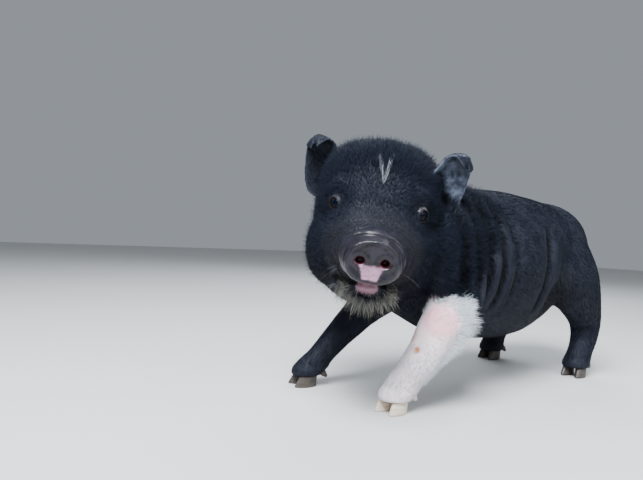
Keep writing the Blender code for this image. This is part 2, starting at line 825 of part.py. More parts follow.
def paint(obj, coat):
    colour, roughness = coat
    name = obj.name + "_material"
    material = bpy.data.materials.new(name)
    material.use_nodes = True
    shader = material.node_tree.nodes["Principled BSDF"]
    shader.inputs["Base Color"].default_value = (*colour, 1)
    shader.inputs["Roughness"].default_value = roughness
    shader.inputs["Metallic"].default_value = 0
    obj.data.materials.clear()
    obj.data.materials.append(material)


def build_head(flesh, frame, nodes):
    head = part_head(flesh, frame)
    disc, disc_place = snout_disc(frame)
    reach = 60
    front = box("front", (-PARTING_GAP, -reach, -reach), (reach, reach, reach), disc_place)
    subtract(head, front, "MANIFOLD")
    open_mouth(head, frame)
    jaw_region = box("region", (MOUTH_CORNER, -reach, -reach), (reach, reach, MOUTH_LEVEL), frame)
    jaw = part_off(head, "lower_jaw", jaw_region, JAW_TRIANGLES)
    thin_out(head, HEAD_TRIANGLES)
    subtract(head, grown(jaw, PARTING_GAP), "MANIFOLD")
    lip = ball("lower_lip", LIP_CENTRE, LIP_SIZE, frame, 16)
    socket = ball("socket", LIP_CENTRE, [size + PARTING_GAP for size in LIP_SIZE], frame, 16)
    chin_bristles(jaw, frame)
    subtract(jaw, socket, "MANIFOLD")
    keep_largest(jaw)
    nodes += [(jaw, BLACK_COAT), (lip, PINK_SKIN), (disc, SNOUT_SKIN)]
    for side in (1, -1):
        nodes.append((eyelids(head, frame, side), EYE_GLOSS))
    nodes.append((keep_largest(head), BLACK_COAT))
    return head


def build_leg(flesh, name, plan, stations, nodes):
    """Upper and lower piece of a leg, its two claws and its two dewclaws."""
    low, high = sorted((plan["side"] * plan["inner"], plan["side"] * LEG_REACH))
    lower = part_off(flesh, name + "_lower", prism("region", plan["shank"], low, high), plan["lower"])
    upper_region = prism("region", plan["outline"], low, high)
    upper = part_off(flesh, name + "_upper", upper_region, plan["upper"])
    coat, horn = plan["coats"]
    nodes += [(lower, coat), (upper, coat)]
    pastern = stations[-2][:2]
    foot = stations[-1][:2]
    for side, word in ((1, "left"), (-1, "right")):
        nodes.append((claw(f"{name}_claw_{word}", (*foot, 0), plan["heading"], side), horn))
        nodes.append((dewclaw(f"{name}_dewclaw_{word}", (*pastern, 0), plan["heading"], side, lower), horn))


def leg_plans():
    """How each leg is parted from the body: its outline from the side, and the cut above knee or hock."""
    black = (BLACK_COAT, DARK_HORN)
    white = (WHITE_COAT, PALE_HORN)
    knee, below_knee = KNEE_CUT, KNEE_CUT - PARTING_GAP
    hock, below_hock = HOCK_CUT, HOCK_CUT - PARTING_GAP
    fore = [(-21, knee), (-21, 50), (-14, 61), (-2, 66), (12, 64), (24, 57), (40, 48), (80, knee)]
    fore_shank = [(-21, CORONET), (85, CORONET), (85, below_knee), (-21, below_knee)]
    hind = [(-119, hock), (-101, 58), (-95, 74), (-99, 91), (-113, 103), (-132, 106), (-152, 97)]
    hind += [(-190, 84), (-190, hock)]
    hind_shank = [(-190, CORONET), (-100, CORONET), (-100, 26), (-121, 40), (-121, below_hock)]
    hind_shank.append((-190, below_hock))
    shared_fore = {"inner": 15.5, "outline": fore, "shank": fore_shank, **FORELEG_TRIANGLES}
    shared_hind = {"inner": 16, "outline": hind, "shank": hind_shank, **HIND_LEG_TRIANGLES}
    right_hind = mirrored(HIND_LEG, RIGHT_HIND_STEP)
    return (
        ("foreleg_left", {**shared_fore, "side": 1, "heading": 4, "coats": white}, FORELEG_LEFT),
        ("foreleg_right", {**shared_fore, "side": -1, "heading": -12, "coats": black}, FORELEG_RIGHT),
        ("hind_leg_left", {**shared_hind, "side": 1, "heading": 4, "coats": black}, HIND_LEG),
        ("hind_leg_right", {**shared_hind, "side": -1, "heading": -4, "coats": black}, right_hind),
    )


def build():
    clear_scene()
    frame = head_matrix()
    flesh = fused("flesh", trunk_shapes() + leg_shapes() + head_shapes(frame), VOXEL, SOFTENING)
    sculpt(flesh)
    subtract(flesh, box("ground", (-300, -200, -50), (200, 200, CORONET)), "MANIFOLD")
    nodes = []
    head = build_head(flesh, frame, nodes)
    for name, plan, stations in leg_plans():
        build_leg(flesh, name, plan, stations, nodes)
    front = box("region", (-35, -80, 0), (120, 80, 200))
    shoulders = part_off(flesh, "neck_and_shoulders", front, SHOULDER_TRIANGLES)
    trunk = keep_largest(flesh)
    trunk.name = "trunk"
    thin_out(trunk, TRUNK_TRIANGLES)
    tail = seat(tube("tail", TAIL, steps=2, sides=10), trunk)
    nodes += [(shoulders, BLACK_COAT), (trunk, BLACK_COAT), (tail, BLACK_COAT)]
    for name, place in (("ear_left", EAR_LEFT), ("ear_right", EAR_RIGHT)):
        nodes.append((seat(ear(name, frame, *place), head, shoulders), BLACK_COAT))
    return nodes


def finish(nodes):
    """Moves the origin below the middle of the animal and turns millimetres into metres."""
    corners = np.vstack([coordinates(obj)[0] for obj, _ in nodes])
    low, high = corners.min(axis=0), corners.max(axis=0)
    middle = Vector(((low[0] + high[0]) / 2, (low[1] + high[1]) / 2, low[2]))
    shift = Matrix.Diagonal((METRES_PER_MM,) * 3 + (1,)) @ Matrix.Translation(-middle)
    for obj, coat in nodes:
        obj.data.transform(shift)
        paint(obj, coat)


finish(build())
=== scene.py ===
"""The looks of a black miniature piglet with one white foreleg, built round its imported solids.

One skin stands for every piece of flesh, a coat of short tufts lies over it, and the eyes and
hooves are pieces of their own. Lengths in the classes are millimetres, in the animal's own frame:
the origin on the floor below the shoulders, X forward along the spine, Y to the animal's left and
Z up. The head's own frame has f forward, l left and u up, from midway between the eyes. The
meshes are in metres, in the frame of the solids. In pairs of numbers such as (1, -1) the first
stands for the left side.
"""

import logging
import math
from dataclasses import dataclass, field
from enum import Enum

import bmesh
import bpy
import numpy as np
from mathutils import Matrix, Vector
from mathutils.bvhtree import BVHTree
from mathutils.kdtree import KDTree


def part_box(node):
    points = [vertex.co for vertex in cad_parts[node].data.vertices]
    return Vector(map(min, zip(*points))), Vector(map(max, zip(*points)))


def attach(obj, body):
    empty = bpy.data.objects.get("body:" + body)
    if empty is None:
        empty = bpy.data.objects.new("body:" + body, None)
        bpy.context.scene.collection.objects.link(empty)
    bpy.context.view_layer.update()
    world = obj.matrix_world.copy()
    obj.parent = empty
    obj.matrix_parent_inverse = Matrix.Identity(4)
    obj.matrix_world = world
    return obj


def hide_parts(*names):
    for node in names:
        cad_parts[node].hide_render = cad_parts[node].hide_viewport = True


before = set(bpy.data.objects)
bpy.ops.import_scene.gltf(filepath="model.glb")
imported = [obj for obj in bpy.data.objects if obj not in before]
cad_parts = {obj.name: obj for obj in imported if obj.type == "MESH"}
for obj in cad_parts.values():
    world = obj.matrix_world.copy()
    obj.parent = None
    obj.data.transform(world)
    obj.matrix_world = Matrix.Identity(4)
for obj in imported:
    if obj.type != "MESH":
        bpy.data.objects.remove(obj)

Array = np.ndarray
Object = bpy.types.Object
Mesh = bpy.types.Mesh
Socket = bpy.types.NodeSocket
Key = int | str
Span = tuple[float, float]
Point = tuple[float, float, float]
Colour = tuple[float, float, float, float]
Tones = tuple[Colour, Colour]

LOG = logging.getLogger("piglet")
MM = 0.001
LEGS = ("foreleg_left", "foreleg_right", "hind_leg_left", "hind_leg_right")
SIDES = ("left", "right")
WAYS = (1, -1)


class Mark(Enum):
    """Names of the values that skin and coat carry at each of their points."""

    WHITE = "white"
    PINK = "pink"
    BARE = "bare"
    RED = "red"
    # painted shade in the hollows of the folds and behind the flank
    FOLD_SHADE = "fold"
    INNER_EAR = "inner_ear"
    SCAB = "scab"
    TONE = "tone"
    TIP = "tip"
    WARM = "warm"
    LID = "lid"
    LIP = "lip"


def bell(distance: Array, width: float) -> Array:
    """Returns 1 at no distance, falling softly to nothing past the width."""
    return np.exp(-((distance / width) ** 2))


def ramp(value: Array, low: float, high: float) -> Array:
    """Returns 0 below low and 1 above high, smooth between them."""
    t = np.clip((value - low) / (high - low), 0, 1)
    return t * t * (3 - 2 * t)


def fade(value: Array, low: float, high: float) -> Array:
    """Returns 1 below low and 0 above high, smooth between them."""
    return 1 - ramp(value, low, high)


def unit(rows: Array) -> Array:
    """Returns the rows as directions of length 1."""
    return rows / np.maximum(np.linalg.norm(rows, axis=-1, keepdims=True), 1e-9)


def columns(*values: object) -> Array:
    """Returns the values side by side, one row a point, a single number in every row."""
    return np.stack(np.broadcast_arrays(*values), axis=-1)


def ripple(points: Array, reach: float, seed: int) -> Array:
    """Smooth seeded noise over points in space.

    Args:
        points: One point a row, in millimetres.
        reach: The rough distance between crests.
        seed: Picks the pattern.

    Returns:
        One value a point, mostly within -1 and 1.
    """
    waves, scale, full_turn = 7, 3.2, 6.28
    chance = np.random.default_rng(seed)
    total = np.zeros(len(points))
    for _ in range(waves):
        wave = chance.normal(size=3) / reach * scale
        total += np.sin(points @ wave + chance.uniform(0, full_turn))
    return total / scale


@dataclass(frozen=True)
class Ear:
    """Root of one ear, the ways it rises and faces, and how pale its inner face is painted; a low paleness
    paints that face dark as painted shade.
    """

    node: str
    root: Point
    rise: Point
    face: Point
    paleness: float


@dataclass(frozen=True)
class Anatomy:
    """Places that the skin, the coat and the eyes are all measured from."""

    eyes_midpoint: Point = (49.0, 11.0, 108.0)
    head_yaw: float = 48.0
    head_roll: float = 6.0
    eye_forward: float = 1.2
    eye_spread: float = 20.8
    eye_radius: float = 5.4
    eye_turn: float = 40.0
    disc_level: float = -27.0
    mouth_level: float = -38.6
    chin_level: float = -42.4
    nostril_spread: float = 5.9
    ear_length: float = 25.0
    ears: tuple[Ear, ...] = (
        Ear("ear_left", (-13, 35, 12), (-0.1, 0.3, 0.93), (0.88, 0.42, -0.2), 1.0),
        # the right ear's low paleness is painted shade: its inner face is kept as dark as the coat
        Ear("ear_right", (-23, -34.2, 13.5), (-0.15, -0.22, 0.96), (0.88, -0.42, 0.1), 0.03),
    )
    white_leg_z: tuple[float, ...] = (7, 18, 30, 42, 50, 60, 74)
    white_leg_x: tuple[float, ...] = (43, 36, 26, 18, 18, 19, 18)
    white_leg_y: tuple[float, ...] = (23.5, 25.5, 28.5, 29.5, 30, 30, 28)

    def axes(self) -> Array:
        """The head's forward, left and up directions.

        Returns:
            One direction a row.
        """
        yaw, roll = math.radians(self.head_yaw), math.radians(self.head_roll)
        forward = np.array([math.cos(yaw), math.sin(yaw), 0.0])
        across = np.array([-math.sin(yaw), math.cos(yaw), 0.0])
        up = np.array([0.0, 0.0, 1.0])
        left = math.cos(roll) * across - math.sin(roll) * up
        return np.array([forward, left, math.cos(roll) * up + math.sin(roll) * across])

    def origin(self) -> Array:
        """Where the animal's own origin lies in the frame of the solids.

        Returns:
            Its place in millimetres.
        """
        corners = [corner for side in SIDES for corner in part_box(f"eye_{side}")]
        eyes = np.array(self.eyes_midpoint) + self.eye_forward * self.axes()[0]
        return np.mean(np.array(corners), axis=0) / MM - eyes

    def to_body(self, metres: Array) -> Array:
        """Returns points of the solids' frame in the animal's own frame, in millimetres."""
        return metres / MM - self.origin()

    def to_metres(self, body: Array) -> Array:
        """Returns points of the animal's own frame in the solids' frame, in metres."""
        return (body + self.origin()) * MM

    def to_head(self, body: Array) -> Array:
        """Returns forward, left and up of each point, from midway between the eyes."""
        return (body - np.array(self.eyes_midpoint)) @ self.axes().T

    def from_head(self, head: Array) -> Array:
        """Returns points of the head's frame in the animal's own frame."""
        return head @ self.axes() + np.array(self.eyes_midpoint)

    def eye_look(self, side: int) -> tuple[Array, Array]:
        """An eye's centre and the way it faces, in the head's frame.

        Args:
            side: 1 on the left, -1 on the right.

        Returns:
            The centre and the direction.
        """
        turn = math.radians(self.eye_turn)
        centre = np.array([self.eye_forward, side * self.eye_spread, 0.0])
        return centre, np.array([math.cos(turn), side * math.sin(turn), 0.0])

    def eye_distance(self, head: Array) -> Array:
        """Returns how far each point of the head's frame lies from the front of the nearer eye."""
        fronts = [centre + look * self.eye_radius for centre, look in map(self.eye_look, WAYS)]
        return np.min([np.linalg.norm(head - front, axis=1) for front in fronts], axis=0)

    def leg_axis(self, z: Array) -> Array:
        """Returns x and y of the middle of the white foreleg at each height, one row a point."""
        x, y = (np.interp(z, self.white_leg_z, places) for places in (self.white_leg_x, self.white_leg_y))
        return columns(x, y)


PIGLET = Anatomy()


class MeshTools:
    """Small steps that several pieces share."""

    @staticmethod
    def read(items: object, name: str, width: int = 3, kind: type = float) -> Array:
        """One property of a mesh's points, edges, faces or corners.

        Args:
            items: The points, edges, faces or corners.
            name: Name of the property.
            width: How many numbers each of them has.
            kind: Type of the numbers.

        Returns:
            One row each.
        """
        found = np.empty(len(items) * width, kind)
        items.foreach_get(name, found)
        return found.reshape(-1, width)

    @staticmethod
    def points(mesh: Mesh) -> Array:
        """Returns the mesh's points, one a row."""
        return MeshTools.read(mesh.vertices, "co")

    @staticmethod
    def normals(mesh: Mesh) -> Array:
        """Returns the mesh's point normals, one a row."""
        return MeshTools.read(mesh.vertices, "normal")

    @staticmethod
    def corners(mesh: Mesh) -> Array:
        """Returns the three points of each face of a mesh of triangles."""
        return MeshTools.read(mesh.polygons, "vertices", 3, np.int64)

    @staticmethod
    def move(mesh: Mesh, points: Array) -> None:
        """Gives the mesh new places for its points."""
        mesh.vertices.foreach_set("co", points.astype(np.float32).ravel())
        mesh.update()

    @staticmethod
    def shade_smooth(target: Object) -> None:
        """Lets the shading run smoothly over the faces."""
        target.data.polygons.foreach_set("use_smooth", np.ones(len(target.data.polygons), bool))

    @staticmethod
    def mark(mesh: Mesh, mark: Mark, values: Array) -> None:
        """Stores one value a point on the mesh."""
        layer = mesh.attributes.new(mark.value, "FLOAT", "POINT")
        layer.data.foreach_set("value", values.astype(np.float32))

    @staticmethod
    def link(name: str, data: bpy.types.ID) -> Object:
        """Adds a new object to the scene, at the origin.

        Args:
            name: Its name.
            data: Its mesh, light or camera.

        Returns:
            The object.
        """
        made = bpy.data.objects.new(name, data)
        bpy.context.scene.collection.objects.link(made)
        return made

    @staticmethod
    def to_object(name: str, shape: bmesh.types.BMesh) -> Object:
        """Makes a new object with the shape of a bmesh, which is freed.

        Args:
            name: Its name.
            shape: The bmesh.

        Returns:
            The object.
        """
        mesh = bpy.data.meshes.new(name)
        shape.to_mesh(mesh)
        shape.free()
        return MeshTools.link(name, mesh)

    @staticmethod
    def apply(target: Object) -> None:
        """Bakes the object's modifiers into its mesh.

        Args:
            target: The object.
        """
        graph = bpy.context.evaluated_depsgraph_get()
        graph.update()
        mesh = bpy.data.meshes.new_from_object(target.evaluated_get(graph))
        target.modifiers.clear()
        target.data = mesh

    @staticmethod
    def close_up(target: Object, voxel: float, rounds: int) -> None:
        """Wraps one closed surface round the object's shapes and evens it out.

        Args:
            target: The object.
            voxel: Size of the surface's squares, in millimetres.
            rounds: How many times it is evened out.
        """
        closing = target.modifiers.new("closing", "REMESH")
        closing.mode = "VOXEL"
        closing.voxel_size = voxel * MM
        soft = target.modifiers.new("soft", "SMOOTH")
        soft.factor = 0.5
        soft.iterations = rounds
        MeshTools.apply(target)

    @staticmethod
    def merged(node: str) -> bmesh.types.BMesh:
        """Copies a solid's mesh and merges its loose triangles.

        Args:
            node: Name of the solid.

        Returns:
            The copy.
        """
        shape = bmesh.new()
        shape.from_mesh(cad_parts[node].data)
        bmesh.ops.remove_doubles(shape, verts=shape.verts, dist=2e-6)
        return shape

    @staticmethod
    def keep_largest(mesh: Mesh) -> None:
        """Removes every surface of the mesh but the one with the most points.

        Args:
            mesh: The mesh.
        """
        shape = bmesh.new()
        shape.from_mesh(mesh)
        unseen = set(shape.verts)
        pieces: list[list[bmesh.types.BMVert]] = []
        while unseen:
            front = [unseen.pop()]
            piece = list(front)
            while front:
                around = {vert for edge in front.pop().link_edges for vert in edge.verts} & unseen
                unseen -= around
                front.extend(around)
                piece.extend(around)
            pieces.append(piece)
        for piece in sorted(pieces, key=len)[:-1]:
            bmesh.ops.delete(shape, geom=piece, context="VERTS")
        shape.to_mesh(mesh)
        shape.free()

    @staticmethod
    def spread(mesh: Mesh, values: Array, rounds: int) -> Array:
        """Evens out values over the mesh's edges.

        Args:
            mesh: The mesh that carries the values.
            values: One value or one row a point.
            rounds: How many times each point takes its neighbours' mean.

        Returns:
            The evened values.
        """
        a, b = MeshTools.read(mesh.edges, "vertices", 2, np.int64).T
        size = len(values)
        count = np.bincount(a, minlength=size) + np.bincount(b, minlength=size) + 1.0
        rows = values.reshape(size, -1).astype(float)
        for _ in range(rounds):
            near = [np.bincount(a, row[b], size) + np.bincount(b, row[a], size) for row in rows.T]
            rows = (rows + np.array(near).T) / count[:, None]
        return rows.reshape(values.shape)


@dataclass(frozen=True)
class SkinPart:
    """What one part of the body adds to the skin and the coat, in millimetres."""

    inset: float
    density: float
    length: float
    width: float
    lift: float
    bent: bool = True


@dataclass(frozen=True)
class Wrinkle:
    """One crease round the snout or an eye: its distance, depth and width, in millimetres."""

    ring: float
    depth: float
    width: float
    way: int = 1
    start: Span = (0.0, 1.0)


@dataclass
class Skin:
    """The one skin over trunk, head, snout, ears, legs and tail."""

    gap_fill: float = 0.4
    voxel: float = 0.8
    softening: int = 5
    crease_angle: float = 42.0
    triangles: int = 188_000
    coarse_steps: int = 10
    chin_front: float = 37.0
    chin_stations: tuple[float, ...] = (6, 20, 32, 38)
    chin_half_widths: tuple[float, ...] = (22, 15.2, 9.8, 6)
    chin_half_depths: tuple[float, ...] = (12, 8, 5.4, 3)
    lid_slant: float = -28.0
    lid_reach: Span = (5.0, 9.5)
    lid_closing: Span = (0.5, 0.22)
    lid_opening: Span = (3.1, 3.4)
    lid_paleness: Span = (0.9, 0.12)
    lid_thickness: float = 0.75
    snout_edge: float = 27.0
    snout_wrinkles: tuple[Wrinkle, ...] = (
        Wrinkle(41.0, 0.5, 0.8), Wrinkle(37.8, 0.7, 0.9), Wrinkle(33.9, 1.05, 1.1),
        Wrinkle(28.8, 0.9, 1.4), Wrinkle(23.2, 0.4, 1.8),
    )
    eye_wrinkles: tuple[Wrinkle, ...] = (
        Wrinkle(7.8, 0.5, 0.9, 1, (-2, 3)), Wrinkle(8.2, 0.45, 1.0, -1, (1, 4)),
        Wrinkle(10.6, 0.3, 1.0, -1, (2, 6)),
    )
    disc_half: Span = (12.6, 10.0)
    fold_places: tuple[tuple[float, ...], ...] = ((11.5, -1, -14, -26, -37), (-6, -24, -38))
    fold_strengths: Span = (1.0, 0.6)
    flank_place: float = -79.5
    nose_patch_half: float = 3.3
    pink_patch: Point = (23, 35.5, 49.5)
    pink_patch_half: Point = (10, 10, 9)
    scab_place: Point = (34.3, 30.6, 33.6)
    parts: dict[str, SkinPart] = field(
        default_factory=lambda: {
            "trunk": SkinPart(0.7, 3.0, 3.7, 0.15, 0.22, False),
            "neck_and_shoulders": SkinPart(0.7, 3.4, 3.6, 0.15, 0.25, False),
            "head": SkinPart(1.3, 4.4, 4.2, 0.12, 1.2),
            "lower_jaw": SkinPart(0.8, 2.6, 3.0, 0.16, 0.9),
            "lower_lip": SkinPart(0.0, 0.0, 1.0, 0.15, 0.2),
            "snout_disc": SkinPart(0.0, 0.0, 1.0, 0.15, 0.2),
            "ear": SkinPart(0.15, 1.9, 2.2, 0.15, 0.3),
            "tail": SkinPart(0.4, 2.4, 3.4, 0.17, 0.3),
            "upper": SkinPart(0.7, 3.0, 3.4, 0.16, 0.28, False),
            "lower": SkinPart(0.5, 3.2, 2.9, 0.17, 0.3, False),
        }
    )
    whole: Object | None = None
    body: Array = field(default_factory=lambda: np.zeros((0, 3)))
    owner: Array = field(default_factory=lambda: np.zeros(0, int))
    values: dict[Mark, Array] = field(default_factory=dict)

    def nodes(self) -> list[str]:
        """Returns the names of the solids that the skin stands for."""
        names = ["trunk", "neck_and_shoulders", "head", "lower_jaw", "lower_lip", "snout_disc", "tail"]
        names += [ear.node for ear in PIGLET.ears]
        return names + [f"{leg}_{part}" for leg in LEGS for part in ("upper", "lower")]

    def part_of(self, node: str) -> SkinPart:
        """Returns the sizes that go with a solid."""
        kind = node.split("_")[0] if node.startswith("ear_") else node.split("_")[-1]
        return self.parts[kind if kind in self.parts else node]

    def tuck_chin(self, shape: bmesh.types.BMesh) -> None:
        """Draws the solid's bristles back to the chin that they grow from.

        Args:
            shape: The lower jaw's mesh.
        """
        f, l, u = PIGLET.to_head(PIGLET.to_body(np.array([vert.co for vert in shape.verts]))).T
        rise = u - PIGLET.chin_level
        half_width = np.interp(f, self.chin_stations, self.chin_half_widths)
        half_depth = np.interp(f, self.chin_stations, self.chin_half_depths)
        tight = 1 / np.maximum(np.hypot(l / half_width, rise / half_depth), 1)
        head = columns(np.minimum(f, self.chin_front), l * tight, rise * tight + PIGLET.chin_level)
        for vert, place in zip(shape.verts, PIGLET.to_metres(PIGLET.from_head(head))):
            vert.co = place

    def rounded_copy(self, node: str) -> Object:
        """One solid with its facets rounded and its faces moved out to close the gaps.

        Args:
            node: Name of the solid.

        Returns:
            A new object, for joining into the skin.
        """
        shape = MeshTools.merged(node)
        if node == "lower_jaw":
            self.tuck_chin(shape)
        layer = shape.edges.layers.float.new("crease_edge")
        sharpest = math.radians(180 if node.startswith("ear_") else self.crease_angle)
        for edge in shape.edges:
            if len(edge.link_faces) == 2 and edge.calc_face_angle(0) > sharpest:
                edge[layer] = 1.0
        copy = MeshTools.to_object("copy_" + node, shape)
        finer = copy.modifiers.new("finer", "SUBSURF")
        finer.levels = finer.render_levels = 2
        MeshTools.apply(copy)
        outwards = MeshTools.normals(copy.data) * self.gap_fill * MM
        MeshTools.move(copy.data, MeshTools.points(copy.data) + outwards)
        return copy

    def build(self) -> Object:
        """Makes the skin, carves it and marks it.

        Returns:
            The finished skin.
        """
        places = []
        joined = bmesh.new()
        for node in self.nodes():
            copy = self.rounded_copy(node)
            joined.from_mesh(copy.data)
            places.append(MeshTools.points(copy.data))
            bpy.data.objects.remove(copy, do_unlink=True)
        self.whole = MeshTools.to_object("piglet_skin", joined)
        MeshTools.close_up(self.whole, self.voxel, self.softening)
        MeshTools.keep_largest(self.whole.data)
        self.thin_out()
        self.find_owners(places)
        self.carve()
        self.set_marks()
        MeshTools.shade_smooth(self.whole)
        return self.whole

    def thin_out(self) -> None:
        """Makes the body coarser and leaves the head as fine as it is."""
        whole = self.whole
        f, _, u = PIGLET.to_head(PIGLET.to_body(MeshTools.points(whole.data))).T
        coarse = 1 - ramp(f, -34, -26) * ramp(u, -60, -54)
        levels = np.round(coarse * self.coarse_steps).astype(int)
        group = whole.vertex_groups.new(name="coarse")
        for level in np.unique(levels):
            group.add(np.nonzero(levels == level)[0].tolist(), level / self.coarse_steps, "REPLACE")
        full = sum(len(polygon.vertices) - 2 for polygon in whole.data.polygons)
        fewer = whole.modifiers.new("fewer", "DECIMATE")
        fewer.ratio = min(1.0, self.triangles / full)
        fewer.vertex_group = "coarse"
        fewer.use_collapse_triangulate = True
        MeshTools.apply(whole)
        whole.vertex_groups.clear()
        LOG.info("skin: %d triangles out of %d", len(whole.data.polygons), full)

    def find_owners(self, places: list[Array]) -> None:
        """Finds the solid that each point of the skin came from.

        Args:
            places: The points of each solid's rounded copy, in the order of nodes().
        """
        marks = np.repeat(np.arange(len(places)), [len(some) for some in places])
        tree = KDTree(len(marks))
        for index, place in enumerate(np.vstack(places)):
            tree.insert(place, index)
        tree.balance()
        self.owner = np.array([marks[tree.find(point)[1]] for point in MeshTools.points(self.whole.data)])

    def surface(self) -> BVHTree:
        """Returns a search tree over the skin's faces."""
        points, faces = MeshTools.points(self.whole.data), MeshTools.corners(self.whole.data)
        return BVHTree.FromPolygons(points.tolist(), faces.tolist(), all_triangles=True)

    def share(self, *names: str) -> Array:
        """Returns 1 on the points that came from these solids, softened at the borders."""
        chosen = np.array([name in names for name in self.nodes()], float)
        return MeshTools.spread(self.whole.data, chosen[self.owner], 6)

    def field_of(self, attribute: str) -> Array:
        """Returns one of the sizes of the skin's parts at each point, softened at the borders."""
        sizes = np.array([getattr(self.part_of(name), attribute) for name in self.nodes()])
        return MeshTools.spread(self.whole.data, sizes[self.owner], 8)

    def carve(self) -> None:
        """Sinks the skin below the coat and works the folds of face and body into it."""
        mesh = self.whole.data
        points, normals = MeshTools.points(mesh), MeshTools.normals(mesh)
        self.body = PIGLET.to_body(points)
        by_eye = fade(PIGLET.eye_distance(PIGLET.to_head(self.body)), 6, 11)
        depth = self.gap_fill + self.field_of("inset") * (1 - self.snout_mask()) * (1 - 0.6 * by_eye)
        depth += self.face_folds() + self.disc_forms() + self.body_folds(normals)
        depth *= self.away_from_horn()
        MeshTools.move(mesh, points - normals * (depth * MM)[:, None])
        self.body = PIGLET.to_body(MeshTools.points(mesh))
        self.close_lids()

    def close_lids(self) -> None:
        """Draws the lids over each eyeball until a slanting almond of it shows, and marks their edges."""
        head = PIGLET.to_head(self.body)
        edges = np.zeros(len(head))
        slant = math.radians(self.lid_slant)
        least = PIGLET.eye_radius + self.lid_thickness
        for side, paleness in zip(WAYS, self.lid_paleness):
            centre, look = PIGLET.eye_look(side)
            level = np.array([-look[1], look[0], 0]) * side
            across = math.cos(slant) * level + math.sin(slant) * np.array([0, 0, 1.0])
            upward = np.cross(look, across) * side
            along, aside, rise = np.stack([look, across, upward]) @ (head - centre).T
            near = fade(np.hypot(aside, rise), *self.lid_reach) * ramp(along, 0, 2)
            aside *= 1 - self.lid_closing[0] * near
            rise *= 1 - self.lid_closing[1] * near
            offset = columns(along, aside, rise) @ np.stack([look, across, upward])
            out = np.hypot(aside / self.lid_opening[0], rise / self.lid_opening[1])
            inner = ramp(0.8 * rise - 0.6 * aside, 1.0, 3.0) * ramp(along, 1.5, 3)
            edges += paleness * bell(out - 1.15, 0.13) * inner
            far = np.linalg.norm(offset, axis=1)
            over = (near > 0.02) & (far > 4.0) & (far < least)
            pushed = np.where(over, least / np.maximum(far, 1e-6), 1.0)
            head = np.where((near > 0)[:, None], centre + offset * pushed[:, None], head)
        self.values[Mark.LID] = np.clip(edges, 0, 1)
        self.body = PIGLET.from_head(head)
        MeshTools.move(self.whole.data, PIGLET.to_metres(self.body))

    def away_from_horn(self) -> Array:
        """Tells where the skin has to meet claws and dewclaws.

        Returns:
            0 at each point there, 1 away from them.
        """
        found = ramp(self.body[:, 2], 10, 15)
        for node in (f"{leg}_dewclaw_{side}" for leg in LEGS for side in SIDES):
            spot = PIGLET.to_body(np.mean(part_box(node), axis=0))
            found *= ramp(np.linalg.norm(self.body - spot, axis=1), 4.0, 7.5)
        return found

    def snout_mask(self) -> Array:
        """Tells the bare end of the snout from the coat behind it.

        Returns:
            1 at each bare point, 0 in the coat.
        """
        f, l, u = PIGLET.to_head(self.body).T
        edge = self.snout_edge + 0.1 * np.abs(l) + 0.9 * ripple(self.body, 6, 5)
        upper = ramp(f, edge, edge + 6) * ramp(u, -38.5, -34)
        return np.clip(np.maximum.reduce([upper, self.share("lower_lip"), self.share("snout_disc")]), 0, 1)

    def face_folds(self) -> Array:
        """Wrinkles over the snout, the creases above and below the eyes and the folds of the cheeks.

        Returns:
            Depth at each point in millimetres, negative where the skin stands out.
        """
        head = PIGLET.to_head(self.body)
        f, l, u = head.T
        face = self.share("head", "snout_disc")
        depth = np.zeros(len(f))
        bend = 0.2 * (np.sqrt(l**2 + 30) - 5.5) - 0.1 * (u - PIGLET.disc_level)
        bend += 0.5 * ripple(self.body, 9, 11)
        on_top = 0.25 + 0.75 * ramp(u + 0.012 * l**2, -27, -19)
        for fold in self.snout_wrinkles:
            over = ramp(u, -36, -30) * (on_top if fold.ring < 40 else 0.4 + 0.6 * on_top) * face
            line = f - fold.ring + bend
            depth += fold.depth * over * (bell(line, fold.width) - 0.4 * bell(line + 2.1, 1.2))
        for side in WAYS:
            centre, look = PIGLET.eye_look(side)
            along, aside, rise = np.array([look, (-look[1], look[0], 0), (0, 0, 1)]) @ (head - centre).T
            away = np.hypot(aside / 1.12, rise)
            for fold in self.eye_wrinkles:
                shown = ramp(along, 1.5, 4) * ramp(fold.way * rise, *fold.start)
                depth += fold.depth * bell(away - fold.ring, fold.width) * shown
            cheek = f + 9 + 0.011 * (u + 20) ** 2
            crease = 0.7 * bell(cheek, 2.0) * ramp(side * l, 24, 31) * ramp(u, -46, -38)
            depth += crease * ramp(-u, 4, 10) * face
        return depth

    def disc_forms(self) -> Array:
        """The rim of the snout's disc, the rims of its nostrils and the groove down its middle.

        Returns:
            Depth at each point in millimetres, negative where the skin stands out.
        """
        f, l, u = PIGLET.to_head(self.body).T
        rise = u - PIGLET.disc_level
        out = np.hypot(l / self.disc_half[0], rise / self.disc_half[1])
        depth = 0.3 * bell(out - 0.79, 0.09) - 0.3 * bell(out - 0.95, 0.1)
        for side in WAYS:
            depth -= 0.45 * bell(np.hypot(l - side * PIGLET.nostril_spread, rise * 1.15) - 3.7, 0.8)
            depth -= 0.3 * bell(np.hypot(l - side * 7.5, rise + 6.5), 2.2)
        depth += 0.35 * bell(l + 0.3, 0.7) * ramp(-rise, 2, 5)
        depth += 0.12 * ripple(self.body, 1.8, 61)
        return depth * self.share("snout_disc") * ramp(f, 44.5, 47)

